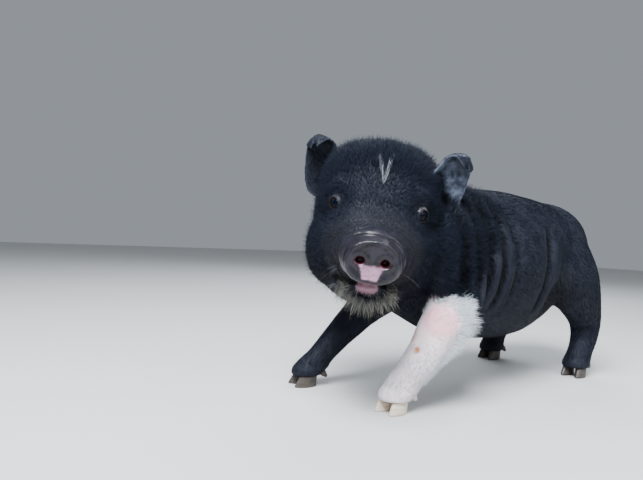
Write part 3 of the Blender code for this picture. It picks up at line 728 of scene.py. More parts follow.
    def body_folds(self, normals: Array) -> Array:
        """Upright folds of loose skin behind the head, over the shoulder and before the thigh.

        Args:
            normals: The skin's directions outwards.

        Returns:
            Depth at each point in millimetres, negative where the skin stands out.
        """
        x, y, z = self.body.T
        torso = self.share("neck_and_shoulders", "trunk")
        depth = 0.12 * ripple(self.body, 14, 31) * torso
        bow = 5 * (1 - ((z - 88) / 42) ** 2) + 0.9 * ripple(self.body, 16, 21)
        for side, places, most in zip(WAYS, self.fold_places, self.fold_strengths):
            shown = ramp(side * normals[:, 1], 0.1, 0.6) * ramp(side * y, 8, 20)
            shown *= ramp(z, 46, 64) * fade(z, 112, 126) * torso
            for order, place in enumerate(places):
                strength = most * (1.0 if order < 3 else 0.7)
                line = x - place + bow
                depth += strength * (1.3 * bell(line, 2.8) - 0.4 * bell(line + 5.5, 3.4)) * shown
                depth += 0.25 * bell(line - 4.8, 1.3) * shown
        flank = bell(x - self.flank_place + 0.16 * (z - 80), 3.0) * ramp(z, 46, 60) * fade(z, 88, 106)
        left_deeper = 0.35 + 0.65 * ramp(y, -5, 5)
        return depth + 1.3 * left_deeper * flank * ramp(np.abs(y), 18, 28) * torso

    def set_marks(self) -> None:
        """Stores the markings of skin and coat at each point."""
        x, y, z = self.body.T
        wave = ripple(self.body, 5, 41)
        white = self.white_mask(wave)
        patch = np.linalg.norm((self.body - self.pink_patch) / self.pink_patch_half, axis=1) + 0.06 * wave
        pink = ramp(white, 0.3, 0.9) * fade(patch, 0.75, 1.3)
        lip = ramp(self.share("lower_lip"), 0.4, 0.62)
        lids = 0.3 * fade(PIGLET.eye_distance(PIGLET.to_head(self.body)), 3.4, 4.6)
        spot = np.linalg.norm(self.body - self.scab_place, axis=1) + 0.25 * wave
        tan = ramp(x - PIGLET.leg_axis(z)[:, 0], 5, 9) * ramp(29 - y, 0, 5) * bell(z - 38, 6) * white
        self.values |= {
            Mark.WHITE: white,
            Mark.PINK: np.maximum.reduce([pink, self.nose_patch(), lip]),
            Mark.LIP: lip,
            Mark.BARE: np.maximum(self.snout_mask(), lids),
            Mark.RED: self.red_mask(),
            # painted shade: darkening in the fold hollows and behind the flank
            Mark.FOLD_SHADE: self.fold_shade_mask(),
            Mark.INNER_EAR: self.inner_ears(),
            Mark.SCAB: fade(spot, 1.0, 3.0) + 0.4 * tan,
        }
        for mark, value in self.values.items():
            self.values[mark] = np.clip(value, 0, 1)
            MeshTools.mark(self.whole.data, mark, self.values[mark])

    def white_mask(self, wave: Array) -> Array:
        """The white foreleg up to its ragged border with the black.

        Args:
            wave: Noise at each point, which shifts that border.

        Returns:
            1 at each white point, 0 at each black one.
        """
        x, y, z = self.body.T
        aside, forth = (columns(x, y) - PIGLET.leg_axis(z)).T * np.array([[1.0], [0.35]])
        white = fade(np.hypot(aside, forth) + 0.7 * wave, 14.5, 18) * fade(z + 1.2 * wave, 58, 64)
        white *= ramp(y - 14 - np.maximum(z - 50, 0), 0, 4)
        return np.maximum(white, self.share("foreleg_left_lower"))

    def inner_ears(self) -> Array:
        """The inner faces of the ears, up to their folded tips; the right ear's is kept dark as painted
        shade.

        Returns:
            How pale the skin is at each point.
        """
        head = PIGLET.to_head(self.body)
        normals = MeshTools.normals(self.whole.data) @ PIGLET.axes().T
        found = np.zeros(len(head))
        for ear in PIGLET.ears:
            offset = head - ear.root
            rise, face = unit(np.array([ear.rise, ear.face]))
            folded = ramp(offset @ rise / PIGLET.ear_length, 0.5, 0.65) * ramp(offset @ face, 0.3, 1.8)
            found += ear.paleness * (1 - folded) * self.share(ear.node) * ramp(normals @ face, 0.05, 0.5)
        return found

    def nose_patch(self) -> Array:
        """The pink patch between the nostrils and the mouth, narrower below.

        Returns:
            1 at each point of the patch, 0 outside it.
        """
        f, l, u = PIGLET.to_head(self.body).T
        edge = 0.2 * ripple(self.body, 3.5, 43)
        half = self.nose_patch_half + 0.36 * (u + 37) + edge
        sides = fade(np.abs(l + 0.3), half - 0.9, half)
        top = fade(u + edge - 0.015 * l**2, -29.9, -28.9)
        return ramp(f, 43.5, 45.5) * sides * top * ramp(u + 0.25 * edge, -35.9, -35.2)

    def red_mask(self) -> Array:
        """The red skin inside the nostrils and the mouth, with painted light on one side of each nostril's
        ring.

        Returns:
            How red each point is, from 0 to 1.
        """
        f, l, u = PIGLET.to_head(self.body).T
        up = MeshTools.normals(self.whole.data) @ PIGLET.axes()[2]
        inside = bell(u - PIGLET.mouth_level, 2.6) * ramp(np.abs(up), 0.55, 0.85) * ramp(f, 8, 16)
        inside *= fade(f, 38, 42) * self.share("head", "lower_jaw")
        lip_top = ramp(up, 0.15, 0.6) * ramp(self.share("lower_lip"), 0.3, 0.6)
        under_disc = self.share("snout_disc", "head") * fade(u, -37.4, -36.7) * bell(l, 9) * ramp(f, 36, 40)
        red = [inside, lip_top, 0.8 * under_disc]
        for place in (side * PIGLET.nostril_spread for side in WAYS):
            away = np.hypot((l - place) / 1.15, (u + 27.2) * 1.15)
            # painted light and shade: the ring round each nostril is fully red only on its side towards the
            # animal's right, where light falls in, and only faintly red on the other side
            lit = 0.25 + 0.75 * ramp(place - l, -2.0, 1.5)
            around = fade(away, 2.5, 3.3) * fade(f, 47.8, 49.4) * ramp(f, 38, 41)
            red.append(around * np.maximum(lit, fade(away, 1.8, 2.6)))
        return np.maximum.reduce(red)

    def fold_shade_mask(self) -> Array:
        """Painted shade: the hollows of the folds and the place behind the flank, darkened where shade falls.

        Returns:
            How deep each point lies in this painted shade, from 0 to 1.
        """
        mesh = self.whole.data
        x, y, z = self.body.T
        even = MeshTools.spread(mesh, self.body, 14)
        depth = np.einsum("ij,ij->i", even - self.body, MeshTools.normals(mesh))
        behind_flank = bell(np.hypot((x + 100) / 13, (z - 53) / 17), 1.0) * ramp(np.abs(y), 10, 20)
        return np.maximum(ramp(depth, 0.03, 0.7), behind_flank)


@dataclass
class Blades:
    """Thin tapered blades of three-cornered section, joined into one mesh."""

    paths: Array
    width: Array
    normal: Array
    thickness: float
    taper: tuple[float, ...] = (0.8, 1.0)
    patch_size: Point = (0.0024, 0.0018, 0.0028)

    def build(self, name: str, marks: dict[Mark, Array]) -> Object:
        """Makes the joined mesh.

        Args:
            name: Name of the piece.
            marks: One value a blade for each mark that it carries.

        Returns:
            The piece, with its tip mark and its map of patches.
        """
        count, stations = self.paths.shape[:2]
        rings = stations - 1
        per_blade = rings * 3 + 1
        along = unit(np.gradient(self.paths, axis=1))
        side = unit(np.cross(self.normal[:, None, :], along))
        raised = np.cross(along, side)[:, :rings]
        tapering = np.interp(np.linspace(0, 1, rings), np.linspace(0, 1, len(self.taper)), self.taper)
        half = self.width[:, None] / 2 * tapering
        step = side[:, :rings] * half[:, :, None]
        ridge = raised * self.thickness * (half / half.max(axis=1, keepdims=True))[:, :, None]
        base = self.paths[:, :rings]
        corners = np.stack([base - step, base + step, base + ridge], axis=2).reshape(count, rings * 3, 3)
        points = np.concatenate([corners, self.paths[:, -1:]], axis=1)
        index = (self.faces(rings) + (np.arange(count) * per_blade)[:, None, None]).reshape(-1)
        mesh = bpy.data.meshes.new(name)
        mesh.vertices.add(count * per_blade)
        mesh.vertices.foreach_set("co", PIGLET.to_metres(points.reshape(-1, 3)).astype(np.float32).ravel())
        mesh.loops.add(len(index))
        mesh.loops.foreach_set("vertex_index", index.astype(np.int32))
        mesh.polygons.add(len(index) // 3)
        mesh.polygons.foreach_set("loop_start", np.arange(0, len(index), 3, dtype=np.int32))
        mesh.update(calc_edges=True)
        mesh.validate()
        tip = np.append(np.repeat(np.linspace(0, 1, rings, endpoint=False), 3), 1.0)
        MeshTools.mark(mesh, Mark.TIP, np.tile(tip, count))
        for mark, value in marks.items():
            MeshTools.mark(mesh, mark, np.repeat(value, per_blade))
        self.unwrap(mesh, rings)
        return MeshTools.link(name, mesh)

    @staticmethod
    def faces(rings: int) -> Array:
        """The triangles of one blade with its faces outwards.

        Args:
            rings: How many rings of points a blade has below its tip.

        Returns:
            The three points of each triangle.
        """
        found = [(0, 2, 1)]
        for ring in range(rings - 1):
            a, b, c, d, e, f = (ring * 3 + k for k in range(6))
            found += [(a, e, d), (a, b, e), (b, c, f), (b, f, e), (c, a, d), (c, d, f)]
        a, b, c, tip = ((rings - 1) * 3 + k for k in range(4))
        return np.array(found + [(a, b, tip), (b, c, tip), (c, a, tip)])

    def unwrap(self, mesh: Mesh, rings: int) -> None:
        """Gives each blade a small patch of the map, at its root's place on the unwrapped skin.

        Args:
            mesh: The joined mesh.
            rings: How many rings of points a blade has below its tip.
        """
        across, rise, top = self.patch_size
        patch = np.zeros((rings * 3 + 1, 2))
        patch[:-1, 0] = np.tile([0.0, across, across / 2], rings)
        patch[:-1, 1] = np.repeat(np.linspace(0, rise, rings), 3) + np.tile([0.0, 0.0, 0.0005], rings)
        patch[-1] = (across / 2, top)
        at_point = (Unwrap.of(self.paths[:, 0])[:, None, :] + patch).reshape(-1, 2)
        corner = MeshTools.read(mesh.loops, "vertex_index", 1, np.int32)[:, 0]
        layer = mesh.uv_layers.new(name="OFBake")
        layer.uv.foreach_set("vector", at_point[corner].astype(np.float32).ravel())


class Unwrap:
    """The skin rolled out flat: trunk, head, legs, ears and tail each on a tile of their own."""

    FORELEG = ((7, 18, 30, 50, 70), (43, 37, 28, 9, -2))
    HIND_LEG = ((7, 18, 38, 66, 90), (-134, -139, -145, -129, -120))

    @staticmethod
    def turn(across: Array, up: Array) -> Array:
        """Returns the angle round an axis as a share of a full turn."""
        return (np.arctan2(across, up) / (2 * math.pi)) % 1.0

    @classmethod
    def of(cls, body: Array) -> Array:
        """Place of each point on the rolled-out skin.

        Args:
            body: Points in the animal's own frame.

        Returns:
            Two numbers a point, each within 0 and 1.
        """
        x, y, z = body.T
        f, l, u = PIGLET.to_head(body).T
        place = columns(0.01 + 0.57 * np.clip((x + 165) / 200, 0, 1), 0.42 + 0.56 * cls.turn(y, z - 82))
        on_head = (f > -34) & (np.hypot(l, u + 5) < 56) & (f + 0.6 * u > -62)
        on_ear = on_head & (np.abs(l) > 33) & (u > 4)
        on_tail = (x < -158) & (np.abs(y) < 14)
        tiles = [
            (on_head, 0.6 + 0.39 * np.clip((52 - f) / 100, 0, 1), 0.42 + 0.56 * cls.turn(l, u + 10)),
            (on_ear, 0.82 + 0.002 * (f + 35), 0.01 + 0.19 * (l > 0) + 0.0045 * (u - 4)),
        ]
        legs = [(axis, side) for axis in (cls.FORELEG, cls.HIND_LEG) for side in WAYS]
        for number, (axis, side) in enumerate(legs):
            forth = x - np.interp(z, *axis)
            on_leg = (z < 52) & (side * y > 12) & (np.abs(forth) < 34) & ~on_head
            round_it = 0.01 + 0.2 * number + 0.18 * cls.turn(y - side * 29, forth)
            tiles.append((on_leg, round_it, 0.01 + 0.37 * np.clip(z / 52, 0, 1)))
        tail_place = 0.93 + 0.005 * np.clip(y + 6, 0, 12), 0.01 + 0.0035 * np.clip(z - 50, 0, 75)
        for chosen, across, up in [*tiles, (on_tail, *tail_place)]:
            place[chosen] = np.clip(columns(across, up), 0, 0.99)[chosen]
        return place


@dataclass
class Coat:
    """Short tufts over the whole skin, each a thin tapered blade that lies along the body."""

    skin: Skin
    tufts: int = 246_000
    thickness: float = 0.08
    triangles_in_piece: int = 180_000
    root_depth: float = 0.15
    swirl: Point = (44.0, 0.0, -30.0)
    loose_share: float = 0.18
    loose_lift: float = 2.4
    seed: int = 17

    def flow(self) -> Array:
        """The lie of the coat over the skin.

        Returns:
            The way that the hair lies at each point.
        """
        skin, mesh, axes = self.skin, self.skin.whole.data, PIGLET.axes()
        x, y, z = skin.body.T
        lie = columns(-1.0, 0.15 * np.sign(y) * ramp(z, 100, 125), -0.32 - 0.5 * ramp(np.abs(y), 18, 38))
        face = unit(PIGLET.to_head(skin.body) - self.swirl) - (0.5, 0, 0)
        turns = [(skin.share("head", "lower_jaw", "snout_disc", "lower_lip"), unit(face) @ axes)]
        for leg in LEGS:
            on_leg = skin.share(f"{leg}_upper") * fade(z, 46, 78) + skin.share(f"{leg}_lower")
            turns.append((on_leg, (0.25 if leg.startswith("fore") else 0.05, 0, -1.0)))
        turns.append((skin.values[Mark.WHITE] * ramp(z, 30, 46), (-1.0, 0.1, 0.15)))
        turns.append((skin.share("tail") * ramp(-x, 160, 168), (0.0, 0.05, -1.0)))
        turns += [(skin.share(ear.node), np.array(ear.rise) @ axes) for ear in PIGLET.ears]
        for share, way in turns:
            lie = lie * (1 - share[:, None]) + np.array(way) * share[:, None]
        lie += 0.06 * columns(*(ripple(skin.body, 22, 51 + k) for k in range(3)))
        lie = MeshTools.spread(mesh, lie, 10)
        normals = MeshTools.normals(mesh)
        return unit(lie - normals * np.einsum("ij,ij->i", lie, normals)[:, None])

    def density(self) -> Array:
        """How thick the coat stands over the skin.

        Returns:
            How many tufts each point would like, per square millimetre.
        """
        skin, values = self.skin, self.skin.values
        head = PIGLET.to_head(skin.body)
        few_on_snout = 0.12 * fade(head[:, 0], 34, 38)
        wanted = skin.field_of("density") * np.maximum(1 - values[Mark.BARE] ** 0.5, few_on_snout)
        wanted *= fade(values[Mark.RED], 0.1, 0.4) * (1 - 0.94 * values[Mark.PINK])
        wanted *= fade(skin.share("lower_lip", "snout_disc"), 0.05, 0.3)
        wanted *= 1 - 0.95 * np.clip(3 * values[Mark.SCAB] - 0.3, 0, 1)
        wanted *= (1 - 0.62 * values[Mark.INNER_EAR]) * (1 + 0.4 * values[Mark.WHITE])
        return wanted * ramp(PIGLET.eye_distance(head), 3.9, 5.4)

    def roots(self) -> tuple[Array, Array]:
        """Draws the tufts' roots over the skin.

        Returns:
            The corners of each root's face and the root's share of each corner.
        """
        chance = np.random.default_rng(self.seed)
        corners = MeshTools.corners(self.skin.whole.data)
        a, b, c = (self.skin.body[corners[:, k]] for k in range(3))
        area = np.linalg.norm(np.cross(b - a, c - a), axis=1) / 2
        weight = area * self.density()[corners].mean(axis=1)
        LOG.info("coat: %.0f tufts wanted over %.0f mm2", weight.sum(), area.sum())
        total = min(self.tufts, int(weight.sum()))
        faces = np.sort(chance.choice(len(weight), total, p=weight / weight.sum()))
        return corners[faces], chance.dirichlet((1, 1, 1), total)

    def build(self) -> list[Object]:
        """Makes the coat in pieces of a size that exports whole.

        Returns:
            The pieces.
        """
        skin = self.skin
        chance = np.random.default_rng(self.seed + 1)
        corners, share = self.roots()
        count = len(corners)

        def at(values: Array) -> Array:
            """Returns the values at the roots."""
            return np.einsum("ij,ij...->i...", share, values[corners])

        owner = skin.owner[corners[:, 0]]
        bent = np.array([skin.part_of(name).bent for name in skin.nodes()])[owner]
        root, normal = at(skin.body), unit(at(MeshTools.normals(skin.whole.data)))
        stray = np.where(bent, 0.12, 0.035)[:, None]
        lie = unit(at(self.flow()) + stray * chance.normal(size=(count, 3)))
        length = at(skin.field_of("length")) * chance.uniform(0.65, 1.2, count)
        width = at(skin.field_of("width")) * chance.uniform(0.7, 1.3, count)
        lift = at(skin.field_of("lift")) * chance.uniform(0.25, 1.5, count)
        f, _, u = PIGLET.to_head(root).T
        on_head = at(skin.share("head"))
        near = ramp(f, -8, 16) * on_head * fade(u, 14, 24)
        crown = ramp(u, 8, 24) * on_head
        furry = np.maximum(crown, 0.5 * on_head * (1 - near))
        loose = chance.uniform(0, 1, count) < self.loose_share * furry
        white, in_ear = at(skin.values[Mark.WHITE]), at(skin.values[Mark.INNER_EAR])
        rear = white * ramp(-normal[:, 0], -0.1, 0.6) * ramp(root[:, 2], 22, 34)
        length *= (1 - 0.5 * near) * (1 + 0.3 * crown) * (1 + 0.3 * loose)
        length *= (1 + 0.7 * rear) * (1 - 0.3 * in_ear)
        width *= 1 - 0.35 * loose
        lift = (lift * (1 - 0.75 * near) * (1 + 1.1 * crown) + self.loose_lift * loose) * (1 + 2.6 * rear)
        paths = self.laid(root, normal, lie * length[:, None], lift, bent)
        marks = {
            Mark.TONE: chance.uniform(0, 1, count),
            Mark.WARM: self.warmth(root) * chance.uniform(0.3, 1, count),
            # painted shade carried over from the skin to each tuft
            Mark.FOLD_SHADE: at(skin.values[Mark.FOLD_SHADE]),
            Mark.INNER_EAR: in_ear,
        }
        whiter = np.maximum(white, self.wisps(root)) > chance.uniform(0.1, 0.9, count)
        marks[Mark.WHITE] = whiter.astype(float)
        pieces = []
        for kind, stations in ((bent, [0, 1, 2]), (~bent, [0, 2])):
            chosen = np.nonzero(kind)[0]
            chosen = chosen[np.lexsort((-root[chosen, 0], owner[chosen]))]
            most = self.triangles_in_piece // (6 * len(stations) - 8)
            for start in range(0, len(chosen), most):
                some = chosen[start : start + most]
                blades = Blades(paths[some][:, stations], width[some], normal[some], self.thickness)
                picked = {mark: value[some] for mark, value in marks.items()}
                pieces.append(blades.build(f"coat_{len(pieces) + 1}", picked))
        LOG.info("coat: %d tufts in %d pieces, %d of them bent", count, len(pieces), bent.sum())
        return pieces

    def laid(self, root: Array, normal: Array, reach: Array, lift: Array, bent: Array) -> Array:
        """Bends each tuft along the skin below it.

        Args:
            root: Where the tufts grow.
            normal: The skin's direction outwards there.
            reach: How far and which way each tuft goes.
            lift: How high each tip stands over the skin.
            bent: Which tufts need their middle laid on the skin too.

        Returns:
            Three points a tuft, from the root to the tip.
        """
        tree = self.skin.surface()
        clear = 0.14
        paths = [root - normal * self.root_depth]
        for share, high, needed in ((0.5, 0.7, bent), (1.0, 1.0, np.ones(len(root), bool))):
            target = PIGLET.to_metres(root + reach * share)
            for index in np.nonzero(needed)[0]:
                found, out, _, _ = tree.find_nearest(target[index])
                target[index] = found + out * ((lift[index] * high + clear) * MM)
            paths.append(PIGLET.to_body(target))
        return np.stack(paths, axis=1)

    @staticmethod
    def wisps(root: Array) -> Array:
        """Where the coat of the forehead turns white, below the long white wisps.

        Args:
            root: The tufts' roots.

        Returns:
            How white each tuft is, from 0 to 1.
        """
        f, l, u = PIGLET.to_head(root).T
        outer = bell(l - 0.3 + 0.2 * (u - 13), 0.8)
        other = bell(l - 0.3 - 0.15 * (u - 13), 0.7)
        return 0.15 * ramp(f, -12, -6) * np.maximum(outer, other) * ramp(u, 11, 16) * fade(u, 22, 27)

    @staticmethod
    def warmth(root: Array) -> Array:
        """Returns how yellow-brown the hair is: most round the mouth."""
        f, _, u = PIGLET.to_head(root).T
        return ramp(f, 10, 22) * (0.5 + 0.4 * ramp(-u, 32, 42))


@dataclass(frozen=True)
class Hair:
    """One kind of long hair: how many there are and their shape, in millimetres."""

    name: str
    count: int
    length: Span
    width: Span
    thickness: float
    root_depth: float
    taper: tuple[float, ...] = (1.0, 0.9, 0.7, 0.4)


@dataclass
class LongHair:
    """The chin's bristles, the whiskers, the white wisps, the white leg's fringe and the tail's tuft."""

    skin: Skin
    bristle: Hair = Hair("chin_bristles", 900, (2.4, 7.8), (0.09, 0.16), 0.12, 0.4, (1.0, 0.85, 0.6, 0.35))
    whisker: Hair = Hair("whiskers", 42, (6, 14), (0.085, 0.085), 0.08, 0.4, (1.0, 0.8, 0.55, 0.3))
    wisp: Hair = Hair("forehead_wisps", 80, (3.5, 7.5), (0.07, 0.12), 0.08, 0.2)
    fringe_hair: Hair = Hair("foreleg_fringe", 3600, (2.5, 9.0), (0.08, 0.15), 0.09, 0.3)
    tail_hair: Hair = Hair("tail_tuft", 260, (3.5, 8.0), (0.2, 0.34), 0.12, 0.3)
    seed: int = 29

    def surface_spots(self, head: Array) -> tuple[Array, Array]:
        """Nearest places of the skin to points of the head's frame.

        Args:
            head: The points.

        Returns:
            The places in the animal's own frame and the skin's directions there.
        """
        tree = self.skin.surface()
        found = [tree.find_nearest(place) for place in PIGLET.to_metres(PIGLET.from_head(head))]
        places = PIGLET.to_body(np.array([place for place, _, _, _ in found]))
        return places, np.array([normal for _, normal, _, _ in found])

    def grow(self, hair: Hair, spots: tuple[Array, Array], start: Array, fall: Array, length: Array,
             width: Array, white: object, tone: Array, warm: object, turned: bool = False) -> Object:
        """Curves each hair from its root towards where it falls.

        Args:
            hair: The kind of hair.
            spots: Where the hairs grow and the skin's directions there.
            start: The way they start.
            fall: The way they bend.
            length: Their lengths.
            width: Their widths.
            white: How white they are.
            tone: Their tones.
            warm: How yellow-brown they are.
            turned: Whether they turn their flat side to the front of the head, and not to the skin.

        Returns:
            The hairs as one piece.
        """
        root, normal = spots
        t = np.linspace(0, 1, 5)[None, :, None]
        bend = 0.35 * np.broadcast_to(fall, root.shape)[:, None]
        paths = (root - normal * hair.root_depth)[:, None]
        paths = paths + length[:, None, None] * (unit(start)[:, None] * t + bend * t**2)
        if turned:
            along = unit(paths[:, -1] - paths[:, 0])
            normal = unit(np.cross(np.cross(along, PIGLET.axes()[0]), along))
        marks = {Mark.WHITE: white, Mark.TONE: tone, Mark.WARM: warm}
        marks = {mark: np.broadcast_to(value, len(root)) for mark, value in marks.items()}
        return Blades(paths, width, normal, hair.thickness, hair.taper).build(hair.name, marks)

    def bristles(self) -> Object:
        """Grows pale-tipped bristles in a fan below the lip and along the jaw.

        Returns:
            The hairs as one piece.
        """
        chance, hair, axes = np.random.default_rng(self.seed), self.bristle, PIGLET.axes()
        count = hair.count
        spread = chance.uniform(-1, 1, count)
        row = chance.uniform(0, 1, count)
        forth, rise = 34 - 13 * row - 10 * spread**2, -43 - 7.5 * row + 3.5 * spread**2
        guess = columns(forth, spread * (15.5 - 2 * row), rise)
        spots = self.surface_spots(guess + chance.normal(size=(count, 3)))
        out = columns(0.55 - 0.6 * row, 0.95 * spread, -0.85) + 0.2 * chance.normal(size=(count, 3))
        fall = columns(-0.45, 0.35 * chance.normal(size=count), -0.75)
        length = chance.uniform(*hair.length, count) * (1 - 0.2 * np.abs(spread))
        length *= 0.55 + 0.45 * ramp(row, 0, 0.5)
        length += 3.0 * (chance.uniform(0, 1, count) < 0.05)
        width = chance.uniform(*hair.width, count)
        white = chance.uniform(0, 0.5, count) * (chance.uniform(0, 1, count) < 0.3)
        tone = chance.uniform(0, 1, count)
        warm = np.where(chance.uniform(0, 1, count) < 0.5, 0.95, 0.35) * chance.uniform(0.8, 1, count)
        start = out @ axes + 0.3 * spots[1]
        return self.grow(hair, spots, start, fall @ axes, length, width, white, tone, warm, turned=True)

    def whiskers(self) -> Object:
        """Grows long thin whiskers round the snout and under the chin.

        Returns:
            The hairs as one piece.
        """
        chance, hair, axes = np.random.default_rng(self.seed + 1), self.whisker, PIGLET.axes()
        count = hair.count
        side = np.where(chance.uniform(0, 1, count) < 0.5, -1.0, 1.0)
        low = np.sqrt(chance.uniform(0, 1, count))
        spots = self.surface_spots(columns(30 - 14 * low, side * (12 + 9 * low), -22 - 20 * low))
        out = columns(0.35 - 0.5 * low, side, -0.25 - 0.7 * low) + 0.2 * chance.normal(size=(count, 3))
        fall = columns(-0.4, side * 0.1, -0.6)
        length = chance.uniform(*hair.length, count)
        width = np.full(count, hair.width[0])
        white, tone = 0.5 * (chance.uniform(0, 1, count) < 0.3), chance.uniform(0, 1, count)
        return self.grow(hair, spots, out @ axes, fall @ axes, length, width, white, tone, 0.4, turned=True)

    def wisps(self) -> Object:
        """Grows white hairs that stand a little out of the coat of the forehead.

        Returns:
            The hairs as one piece.
        """
        chance, hair, axes = np.random.default_rng(self.seed + 2), self.wisp, PIGLET.axes()
        count = hair.count
        rise = 15 * chance.uniform(0, 1, count) ** 1.2
        slope = np.where(chance.uniform(0, 1, count) < 0.6, -0.2, 0.15) + 0.05 * chance.normal(size=count)
        across = 0.3 + slope * rise + 0.35 * chance.normal(size=count)
        spots = self.surface_spots(columns(10.0, across, 12 + rise))
        start = columns(0.15 + 0.2 * chance.uniform(size=count), slope, 1.0) @ axes + 0.25 * spots[1]
        length, width = chance.uniform(*hair.length, count), chance.uniform(*hair.width, count)
        white, tone = chance.uniform(0.2, 0.9, count), chance.uniform(0, 1, count)
        return self.grow(hair, spots, start, np.array([-0.8, 0, 0.2]) @ axes, length, width, white, tone, 0.0)

    def fringe(self) -> Object:
        """Grows longer white hair along the rear edge of the left foreleg.

        Returns:
            The hairs as one piece.
        """
        chance, hair = np.random.default_rng(self.seed + 3), self.fringe_hair
        count = hair.count
        z = chance.uniform(13, 58.5, count)
        turn = chance.uniform(-0.8, 1.3, count)
        target = np.column_stack([PIGLET.leg_axis(z) + columns(-14 * np.cos(turn), 18 * np.sin(turn)), z])
        spots = self.surface_spots(PIGLET.to_head(target))
        back = columns(-1.0, 0.1, -0.9 + 0.022 * z)
        start = back + 0.6 * spots[1] + 0.2 * chance.normal(size=(count, 3))
        length = chance.uniform(*hair.length, count) * (0.35 + 0.65 * ramp(z, 22, 36))
        width, tone = chance.uniform(*hair.width, count), chance.uniform(0, 1, count)
        return self.grow(hair, spots, start, np.array([-0.3, 0.0, -0.4]), length, width, 1.0, tone, 0.0)

    def tail_tuft(self) -> Object:
        """Grows longer hair at the end of the tail.

        Returns:
            The hairs as one piece.
        """
        chance, hair = np.random.default_rng(self.seed + 4), self.tail_hair
        count = hair.count
        target = columns(-170.0, 3.5, chance.uniform(57, 82, count)) + 2.0 * chance.normal(size=(count, 3))
        spots = self.surface_spots(PIGLET.to_head(target))
        start = np.array([0.1, 0.0, -1.0]) + 0.3 * spots[1]
        length, width = chance.uniform(*hair.length, count), chance.uniform(*hair.width, count)
        tone = chance.uniform(0, 1, count)
        return self.grow(hair, spots, start, np.array([0.1, 0.05, -0.4]), length, width, 0.0, tone, 0.2)


@dataclass
class Eye:
    """One eyeball with a clear bulge over its iris."""

    side: str
    segments: int = 56
    bulge: float = 0.55
    bulge_angle: float = 30.0
    gaze_forward: float = 10.0

    def build(self) -> Object:
        """Makes the eyeball at the place of its solid.

        Returns:
            The eyeball, with the angle from its line of sight marked on it.
        """
        low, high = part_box(f"eye_{self.side}")
        centre = (low + high) / 2
        shape = bmesh.new()
        bmesh.ops.create_uvsphere(
            shape, u_segments=self.segments, v_segments=self.segments // 2, radius=PIGLET.eye_radius * MM
        )
        sign = 1 if self.side == "left" else -1
        turn = math.radians(PIGLET.eye_turn - self.gaze_forward)
        gaze = np.array([math.cos(turn), sign * math.sin(turn), -0.02]) @ PIGLET.axes()
        look = Vector(gaze.tolist()).normalized()
        place = Matrix.Translation(centre) @ Vector((0, 0, 1)).rotation_difference(look).to_matrix().to_4x4()
        bmesh.ops.transform(shape, matrix=place, verts=shape.verts)
        made = MeshTools.to_object(f"eyeball_{self.side}", shape)
        points = MeshTools.points(made.data)
        out = unit(points - np.array(centre))
        angle = np.degrees(np.arccos(np.clip(out @ np.array(look), -1, 1)))
        MeshTools.move(made.data, points + out * (self.bulge * MM * bell(angle, self.bulge_angle))[:, None])
        MeshTools.mark(made.data, Mark.TONE, angle / 90.0)
        MeshTools.shade_smooth(made)
        return made


@dataclass
class Hooves:
    """The claws and dewclaws of one foot, rounded from their solids."""

    leg: str
    voxel: float = 0.32
    softening: int = 4

    def build(self) -> list[Object]:
        """Rounds each claw of the foot.

        Returns:
            The pieces, each in place of its solid.
        """
        pieces = []
        for node in (f"{self.leg}_{kind}_{side}" for kind in ("claw", "dewclaw") for side in SIDES):
            made = MeshTools.to_object("horn_" + node, MeshTools.merged(node))
            MeshTools.close_up(made, self.voxel, self.softening)
            MeshTools.shade_smooth(made)
            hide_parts(node)
            pieces.append(made)
        return pieces


@dataclass(frozen=True)
class Finish:
    """Shader values of one material."""

    name: str
    roughness: float
    specular: float = 0.5
    bump: float = 0.2


@dataclass(frozen=True)
class CoatColours:
    """Colours that skin and hair share."""

    black_root: Colour = (0.006, 0.0077, 0.014, 1)
    black_tip: Colour = (0.0115, 0.016, 0.031, 1)
    brown: Colour = (0.11, 0.09, 0.065, 1)
    pale: Colour = (0.78, 0.74, 0.58, 1)
    white: Colour = (0.84, 0.87, 0.9, 1)
    white_shade: Colour = (0.5, 0.58, 0.66, 1)
    in_ear: Colour = (0.07, 0.088, 0.13, 1)
    # painted shade: the hair's colour deep in the fold hollows and behind the flank
    fold_shade: Colour = (0.001, 0.0012, 0.002, 1)


@dataclass(frozen=True)
class SkinColours:
    """Colours of the bare skin, most of them as a darker and a lighter tone."""

    under_white: Tones = ((0.72, 0.56, 0.58, 1), (0.82, 0.72, 0.74, 1))
    inner_ear: Tones = ((0.025, 0.03, 0.045, 1), (0.1, 0.12, 0.17, 1))
    slate: Tones = ((0.004, 0.0035, 0.006, 1), (0.013, 0.0108, 0.018, 1))
    leg_pink: Tones = ((0.66, 0.33, 0.38, 1), (0.76, 0.46, 0.5, 1))
    nose_pink: Tones = ((0.26, 0.13, 0.19, 1), (0.38, 0.21, 0.3, 1))
    lip_pink: Tones = ((0.16, 0.07, 0.1, 1), (0.25, 0.13, 0.17, 1))
    inner_red: Colour = (0.06, 0.004, 0.011, 1)
    lid_edge: Colour = (0.4, 0.34, 0.36, 1)
    scab: Colour = (0.4, 0.13, 0.025, 1)
    # painted shade: the skin's colour deep in the fold hollows and behind the flank
    fold_shade: Colour = (0.005, 0.005, 0.006, 1)


@dataclass(frozen=True)
class EyeColours:
    """Colours of the eyeball from its pupil outwards."""

    pupil: Colour = (0.001, 0.002, 0.007, 1)
    iris: Tones = ((0.004, 0.003, 0.004, 1), (0.034, 0.016, 0.008, 1))
    rim: Colour = (0.002, 0.002, 0.005, 1)
    white: Colour = (0.03, 0.022, 0.022, 1)


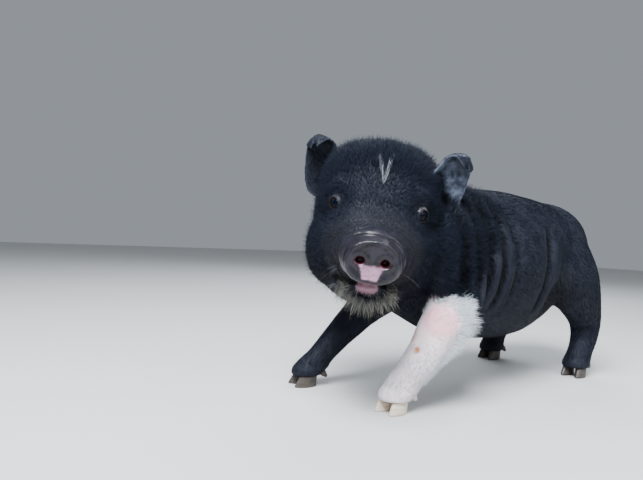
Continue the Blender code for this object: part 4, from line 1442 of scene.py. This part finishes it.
class NodeBoard:
    """Builds the nodes of one material or group with short calls."""

    def __init__(self, tree: bpy.types.NodeTree) -> None:
        """Keeps the node tree to build in."""
        self.tree = tree

    def add(self, kind: str, **settings: object) -> bpy.types.Node:
        """Adds a node.

        Args:
            kind: Its type.
            **settings: Values of its properties.

        Returns:
            The node.
        """
        node = self.tree.nodes.new(kind)
        for key, value in settings.items():
            setattr(node, key, value)
        return node

    def put(self, socket: Socket, value: object) -> None:
        """Links a socket to another or sets its value.

        Args:
            socket: The socket.
            value: The other socket, or the value.
        """
        if isinstance(value, Socket):
            self.tree.links.new(value, socket)
        else:
            socket.default_value = value

    def filled(self, kind: str, output: Key, inputs: dict[Key, object], **settings: object) -> Socket:
        """Makes a node and fills its inputs.

        Args:
            kind: Type of the node.
            output: Which output is wanted.
            inputs: A value or a socket for each input.
            **settings: Values of the node's properties.

        Returns:
            That output.
        """
        node = self.add(kind, **settings)
        for key, value in inputs.items():
            self.put(node.inputs[key], value)
        return node.outputs[output]

    def attribute(self, mark: Mark) -> Socket:
        """Returns the value of a mark of the mesh."""
        return self.filled("ShaderNodeAttribute", "Fac", {}, attribute_name=mark.value)

    def noise(self, scale: float, detail: float = 3.0, stretch: Point = (1, 1, 1)) -> Socket:
        """Noise over object coordinates, stretched along an axis.

        Args:
            scale: How fine it is.
            detail: How many finer layers lie over it.
            stretch: How much finer it runs along each axis.

        Returns:
            The noise.
        """
        place = self.filled("ShaderNodeTexCoord", "Object", {})
        place = self.filled("ShaderNodeMapping", "Vector", {"Scale": stretch, "Vector": place})
        return self.filled("ShaderNodeTexNoise", "Fac", {"Scale": scale, "Detail": detail, "Vector": place})

    def mix(self, share: object, low: object, high: object) -> Socket:
        """Returns the mix of two colours."""
        return self.filled("ShaderNodeMix", 2, {0: share, 6: low, 7: high}, data_type="RGBA")

    def span(
        self, value: Socket, low: float, high: float, to_low: float = 0.0, to_high: float = 1.0
    ) -> Socket:
        """Returns a value moved from one range to another and held within it."""
        ends = {"From Min": low, "From Max": high, "To Min": to_low, "To Max": to_high}
        return self.filled("ShaderNodeMapRange", "Result", {"Value": value, **ends})

    def toned(self, value: Socket, low: float, high: float, tones: Tones) -> Socket:
        """Returns a colour that goes from the first tone to the second as the value rises."""
        return self.mix(self.span(value, low, high), *tones)

    def math(self, operation: str, a: object, b: object) -> Socket:
        """Returns the result of a Math node."""
        return self.filled("ShaderNodeMath", 0, {0: a, 1: b}, operation=operation)

    def bump(self, height: Socket, strength: float, distance: float) -> Socket:
        """Returns a normal raised by a height."""
        inputs = {"Strength": strength, "Distance": distance, "Height": height}
        return self.filled("ShaderNodeBump", "Normal", inputs)


class Finishes:
    """Makes the materials, each once."""

    def __init__(self) -> None:
        """Builds the group that gives hair and skin their markings."""
        self.colours = CoatColours()
        self.group = self.marking_group()

    def marking_group(self) -> bpy.types.NodeTree:
        """Mixes black, white and brown hair by the marks of the mesh.

        Returns:
            The node group, with named inputs and one colour out.
        """
        tree = bpy.data.node_groups.new("coat_markings", "ShaderNodeTree")
        colours = ("Black root", "Black tip", "Brown", "Pale", "White", "White shade")
        values = ("Tip", "Tone", "Warm", "White share")
        for name in colours + values:
            kind = "NodeSocketColor" if name in colours else "NodeSocketFloat"
            tree.interface.new_socket(name=name, in_out="INPUT", socket_type=kind)
        tree.interface.new_socket(name="Colour", in_out="OUTPUT", socket_type="NodeSocketColor")
        board = NodeBoard(tree)
        source = board.add("NodeGroupInput").outputs
        end = board.add("NodeGroupOutput").inputs["Colour"]
        dark = board.mix(source["Tip"], source["Black root"], source["Black tip"])
        toned = board.mix(board.math("MULTIPLY", source["Tone"], 0.5), dark, source["Black root"])
        yellow = board.mix(board.span(source["Warm"], 0.5, 1.0), source["Brown"], source["Pale"])
        warmed = board.mix(board.math("MULTIPLY", source["Warm"], source["Tip"]), toned, yellow)
        shaded = board.math("MULTIPLY", source["Tone"], 0.6)
        whites = board.mix(shaded, source["White"], source["White shade"])
        board.put(end, board.mix(source["White share"], warmed, whites))
        return tree

    def material(self, finish: Finish) -> tuple[bpy.types.Material, NodeBoard, object]:
        """Starts a material.

        Args:
            finish: Its name and shader values.

        Returns:
            The material, a board for its nodes and its shader's inputs.
        """
        made = bpy.data.materials.new(finish.name)
        made.use_nodes = True
        inputs = made.node_tree.nodes["Principled BSDF"].inputs
        inputs["Roughness"].default_value = finish.roughness
        inputs["Specular IOR Level"].default_value = finish.specular
        return made, NodeBoard(made.node_tree), inputs

    def markings(self, board: NodeBoard, tip: object, tone: object, warm: object, white: object) -> Socket:
        """Places the marking group in a material.

        Args:
            board: The material's nodes.
            tip: How near a point is to its hair's tip.
            tone: The tone of each hair.
            warm: How yellow-brown it is.
            white: How white it is.

        Returns:
            The group's colour.
        """
        colours = self.colours
        inputs = {
            "Black root": colours.black_root, "Black tip": colours.black_tip, "Brown": colours.brown,
            "Pale": colours.pale, "White": colours.white, "White shade": colours.white_shade,
            "Tip": tip, "Tone": tone, "Warm": warm, "White share": white,
        }
        return board.filled("ShaderNodeGroup", "Colour", inputs, node_tree=self.group)

    def hair(self, finish: Finish) -> bpy.types.Material:
        """The coat: each tuft darker at its root, with its own tone, and darkened by painted shade in the
        fold hollows and behind the flank.

        Args:
            finish: Name and shader values.

        Returns:
            The material.
        """
        made, board, shader = self.material(finish)
        tone, white = board.attribute(Mark.TONE), board.attribute(Mark.WHITE)
        colour = self.markings(board, board.attribute(Mark.TIP), tone, board.attribute(Mark.WARM), white)
        in_ear = board.math("MULTIPLY", board.attribute(Mark.INNER_EAR), 0.7)
        colour = board.mix(in_ear, colour, self.colours.in_ear)
        # painted shade: the hair is darkened towards the shade colour in fold hollows and behind the flank,
        # but white hair is not
        shade = board.math("MULTIPLY", board.attribute(Mark.FOLD_SHADE), 0.9)
        shade = board.math("MULTIPLY", shade, board.math("SUBTRACT", 1.0, white))
        board.put(shader["Base Color"], board.mix(shade, colour, self.colours.fold_shade))
        rough = board.span(tone, 0, 1, finish.roughness - 0.08, finish.roughness + 0.12)
        board.put(shader["Roughness"], rough)
        return made

    def skin(self, finish: Finish, colours: SkinColours = SkinColours()) -> bpy.types.Material:
        """The skin: black under the coat, slate grey and shiny on the snout, pink in its patches, darkened by
        painted shade in the fold hollows and behind the flank.

        Args:
            finish: Name and shader values.
            colours: Its colours.

        Returns:
            The material.
        """
        made, board, shader = self.material(finish)
        fine, broad, blotches = board.noise(900, 4), board.noise(70), board.noise(210, 4)
        white, pink, bare = (board.attribute(mark) for mark in (Mark.WHITE, Mark.PINK, Mark.BARE))
        red, fold, lip = (board.attribute(mark) for mark in (Mark.RED, Mark.FOLD_SHADE, Mark.LIP))
        ear, lid, scab = (board.attribute(mark) for mark in (Mark.INNER_EAR, Mark.LID, Mark.SCAB))
        colour = self.markings(board, board.span(broad, 0.35, 0.65, 0.1, 0.6), fine, 0.1, 0.0)
        colour = board.mix(white, colour, board.toned(broad, 0.35, 0.7, colours.under_white))
        colour = board.mix(ear, colour, board.toned(blotches, 0.38, 0.62, colours.inner_ear))
        colour = board.mix(bare, colour, board.toned(blotches, 0.35, 0.65, colours.slate))
        pinks = (colours.leg_pink, colours.nose_pink, colours.lip_pink)
        leg, nose, mouth = (board.toned(fine, 0.3, 0.7, tones) for tones in pinks)
        colour = board.mix(pink, colour, board.mix(lip, board.mix(bare, leg, nose), mouth))
        for mask, over in ((red, colours.inner_red), (lid, colours.lid_edge), (scab, colours.scab)):
            colour = board.mix(mask, colour, over)
        # painted shade: the skin is darkened in fold hollows and behind the flank, but not where it is pink
        # or white
        shaded = board.mix(board.math("MULTIPLY", fold, 0.75), colour, colours.fold_shade)
        board.put(shader["Base Color"], board.mix(board.math("MAXIMUM", pink, white), shaded, colour))
        wet = board.math("MAXIMUM", bare, red)
        board.put(shader["Coat Weight"], board.math("MULTIPLY", wet, 0.48))
        shader["Coat Roughness"].default_value = 0.28
        rough = board.span(wet, 0, 1, finish.roughness, 0.44)
        board.put(shader["Roughness"], board.math("ADD", rough, board.span(fine, 0.3, 0.7, -0.05, 0.07)))
        height = board.math("ADD", fine, board.math("MULTIPLY", board.noise(2600, 2), 0.5))
        board.put(shader["Normal"], board.bump(height, finish.bump, 0.0004))
        return made

    def eye(self, finish: Finish, colours: EyeColours = EyeColours()) -> bpy.types.Material:
        """The eye: a blue-black pupil in a dark brown iris, wet.

        Args:
            finish: Name and shader values.
            colours: Its colours.

        Returns:
            The material.
        """
        made, board, shader = self.material(finish)
        angle = board.attribute(Mark.TONE)
        iris = board.mix(board.noise(1800, 2), *colours.iris)
        colour = board.mix(board.span(angle, 0.24, 0.34), colours.pupil, iris)
        colour = board.mix(board.span(angle, 0.44, 0.54), colour, colours.rim)
        board.put(shader["Base Color"], board.mix(board.span(angle, 0.64, 0.76), colour, colours.white))
        return made

    def horn(self, finish: Finish, tones: Tones) -> bpy.types.Material:
        """Hoof horn with growth rings and scuffs.

        Args:
            finish: Name and shader values.
            tones: Its darker and its lighter colour.

        Returns:
            The material.
        """
        made, board, shader = self.material(finish)
        rings, spots = board.noise(500, 2, (0.25, 0.25, 3.0)), board.noise(160)
        board.put(shader["Base Color"], board.toned(rings, 0.3, 0.7, tones))
        rough = board.span(spots, 0.3, 0.7, finish.roughness - 0.1, finish.roughness + 0.15)
        board.put(shader["Roughness"], rough)
        board.put(shader["Normal"], board.bump(rings, finish.bump, 0.0003))
        return made

    def floor(self, finish: Finish, tones: Tones) -> bpy.types.Material:
        """A plain pale floor.

        Args:
            finish: Name and shader values.
            tones: Its darker and its lighter colour.

        Returns:
            The material.
        """
        made, board, shader = self.material(finish)
        board.put(shader["Base Color"], board.toned(board.noise(3, 2), 0.3, 0.7, tones))
        return made


@dataclass(frozen=True)
class Lamp:
    """A soft square light that faces the animal: place and side in metres, power in watts."""

    name: str
    place: Point
    side: float
    power: float
    colour: Point

    def build(self, aim: Point) -> None:
        """Adds the light.

        Args:
            aim: The place that it faces.
        """
        data = bpy.data.lights.new(self.name, "AREA")
        data.shape = "SQUARE"
        data.size = self.side
        data.energy = self.power
        data.color = self.colour
        made = MeshTools.link(self.name, data)
        made.location = self.place
        made.rotation_mode = "QUATERNION"
        made.rotation_quaternion = (Vector(aim) - Vector(self.place)).to_track_quat("-Z", "Y")


@dataclass
class Studio:
    """Camera, lights and floor."""

    camera_place: Point = (247.0, 218.0, 90.0)
    camera_look: Point = (-0.61, -0.79, 0.0)
    focal_pixels: float = 520.0
    frame_width: float = 643.0
    sensor_width: float = 36.0
    roll: float = 2.7
    lamps: tuple[Lamp, ...] = (
        Lamp("key", (0.44, 0.22, 0.75), 0.45, 27.0, (0.9, 0.95, 1.0)),
        Lamp("fill", (-0.2, 0.65, 0.5), 0.5, 4.0, (0.88, 0.94, 1.0)),
        Lamp("rim", (-0.6, -0.5, 0.8), 0.6, 7.0, (0.86, 0.93, 1.0)),
    )
    lamp_aim: Point = (0, 0, 0.08)
    air_colour: Colour = (0.82, 0.89, 0.98, 1)
    air_strength: float = 0.36
    floor_half: float = 3.0

    def camera(self) -> None:
        """Puts the camera where the photograph was taken from."""
        data = bpy.data.cameras.new("camera")
        data.sensor_fit = "HORIZONTAL"
        data.sensor_width = self.sensor_width
        data.lens = self.sensor_width * self.focal_pixels / self.frame_width
        data.clip_start = 0.01
        made = MeshTools.link("camera", data)
        place = Matrix.Translation(Vector(PIGLET.to_metres(np.array(self.camera_place))))
        turn = Vector(self.camera_look).to_track_quat("-Z", "Y").to_matrix().to_4x4()
        made.matrix_world = place @ turn @ Matrix.Rotation(math.radians(self.roll), 4, "Z")
        bpy.context.scene.camera = made

    def build(self, floor_finish: bpy.types.Material) -> None:
        """Makes the whole studio.

        Args:
            floor_finish: The floor's material.
        """
        self.camera()
        for lamp in self.lamps:
            lamp.build(self.lamp_aim)
        world = bpy.data.worlds.new("studio")
        world.use_nodes = True
        background = world.node_tree.nodes["Background"]
        background.inputs["Color"].default_value = self.air_colour
        background.inputs["Strength"].default_value = self.air_strength
        bpy.context.scene.world = world
        shape = bmesh.new()
        bmesh.ops.create_grid(shape, x_segments=8, y_segments=8, size=self.floor_half)
        floor = MeshTools.to_object("floor", shape)
        floor.data.materials.append(floor_finish)


def dress(piece: Object, material: bpy.types.Material, slot: str, *nodes: str) -> None:
    """Gives a piece its material and its body.

    Args:
        piece: The piece.
        material: Its finish.
        slot: Not used.
        *nodes: The solids that it stands for.
    """
    piece.data.materials.clear()
    piece.data.materials.append(material)
    if nodes:
        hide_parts(*nodes)
    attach(piece, "root")
    LOG.info("%s: %d faces", piece.name, len(piece.data.polygons))


def main() -> None:
    """Builds the piglet and its studio."""
    logging.basicConfig(level=logging.INFO, format="%(message)s")
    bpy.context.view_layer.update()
    finishes = Finishes()
    skin_finish = finishes.skin(Finish("piglet_skin", 0.6, 0.12, 0.3))
    hair_finish = finishes.hair(Finish("piglet_coat", 0.55, 0.09))
    eye_finish = finishes.eye(Finish("piglet_eye", 0.1, 0.08))
    dark_horn = finishes.horn(Finish("dark_horn", 0.42), ((0.02, 0.017, 0.016, 1), (0.07, 0.055, 0.045, 1)))
    pale_horn = finishes.horn(Finish("pale_horn", 0.45), ((0.5, 0.39, 0.3, 1), (0.72, 0.62, 0.5, 1)))
    floor_finish = finishes.floor(Finish("floor", 0.75), ((0.55, 0.55, 0.54, 1), (0.58, 0.575, 0.565, 1)))
    Studio().build(floor_finish)
    skin = Skin()
    dress(skin.build(), skin_finish, "black_coat", *skin.nodes())
    for side in SIDES:
        dress(Eye(side).build(), eye_finish, "eye", f"eye_{side}")
    for leg in LEGS:
        horn, slot = (pale_horn, "pale_horn") if leg == "foreleg_left" else (dark_horn, "dark_horn")
        for piece in Hooves(leg).build():
            dress(piece, horn, slot)
    hair = LongHair(skin)
    pieces = [hair.bristles(), hair.whiskers(), hair.wisps(), hair.fringe(), hair.tail_tuft()]
    pieces += Coat(skin).build()
    for piece in pieces:
        dress(piece, hair_finish, "black_coat")


if __name__ == "__main__":
    main()
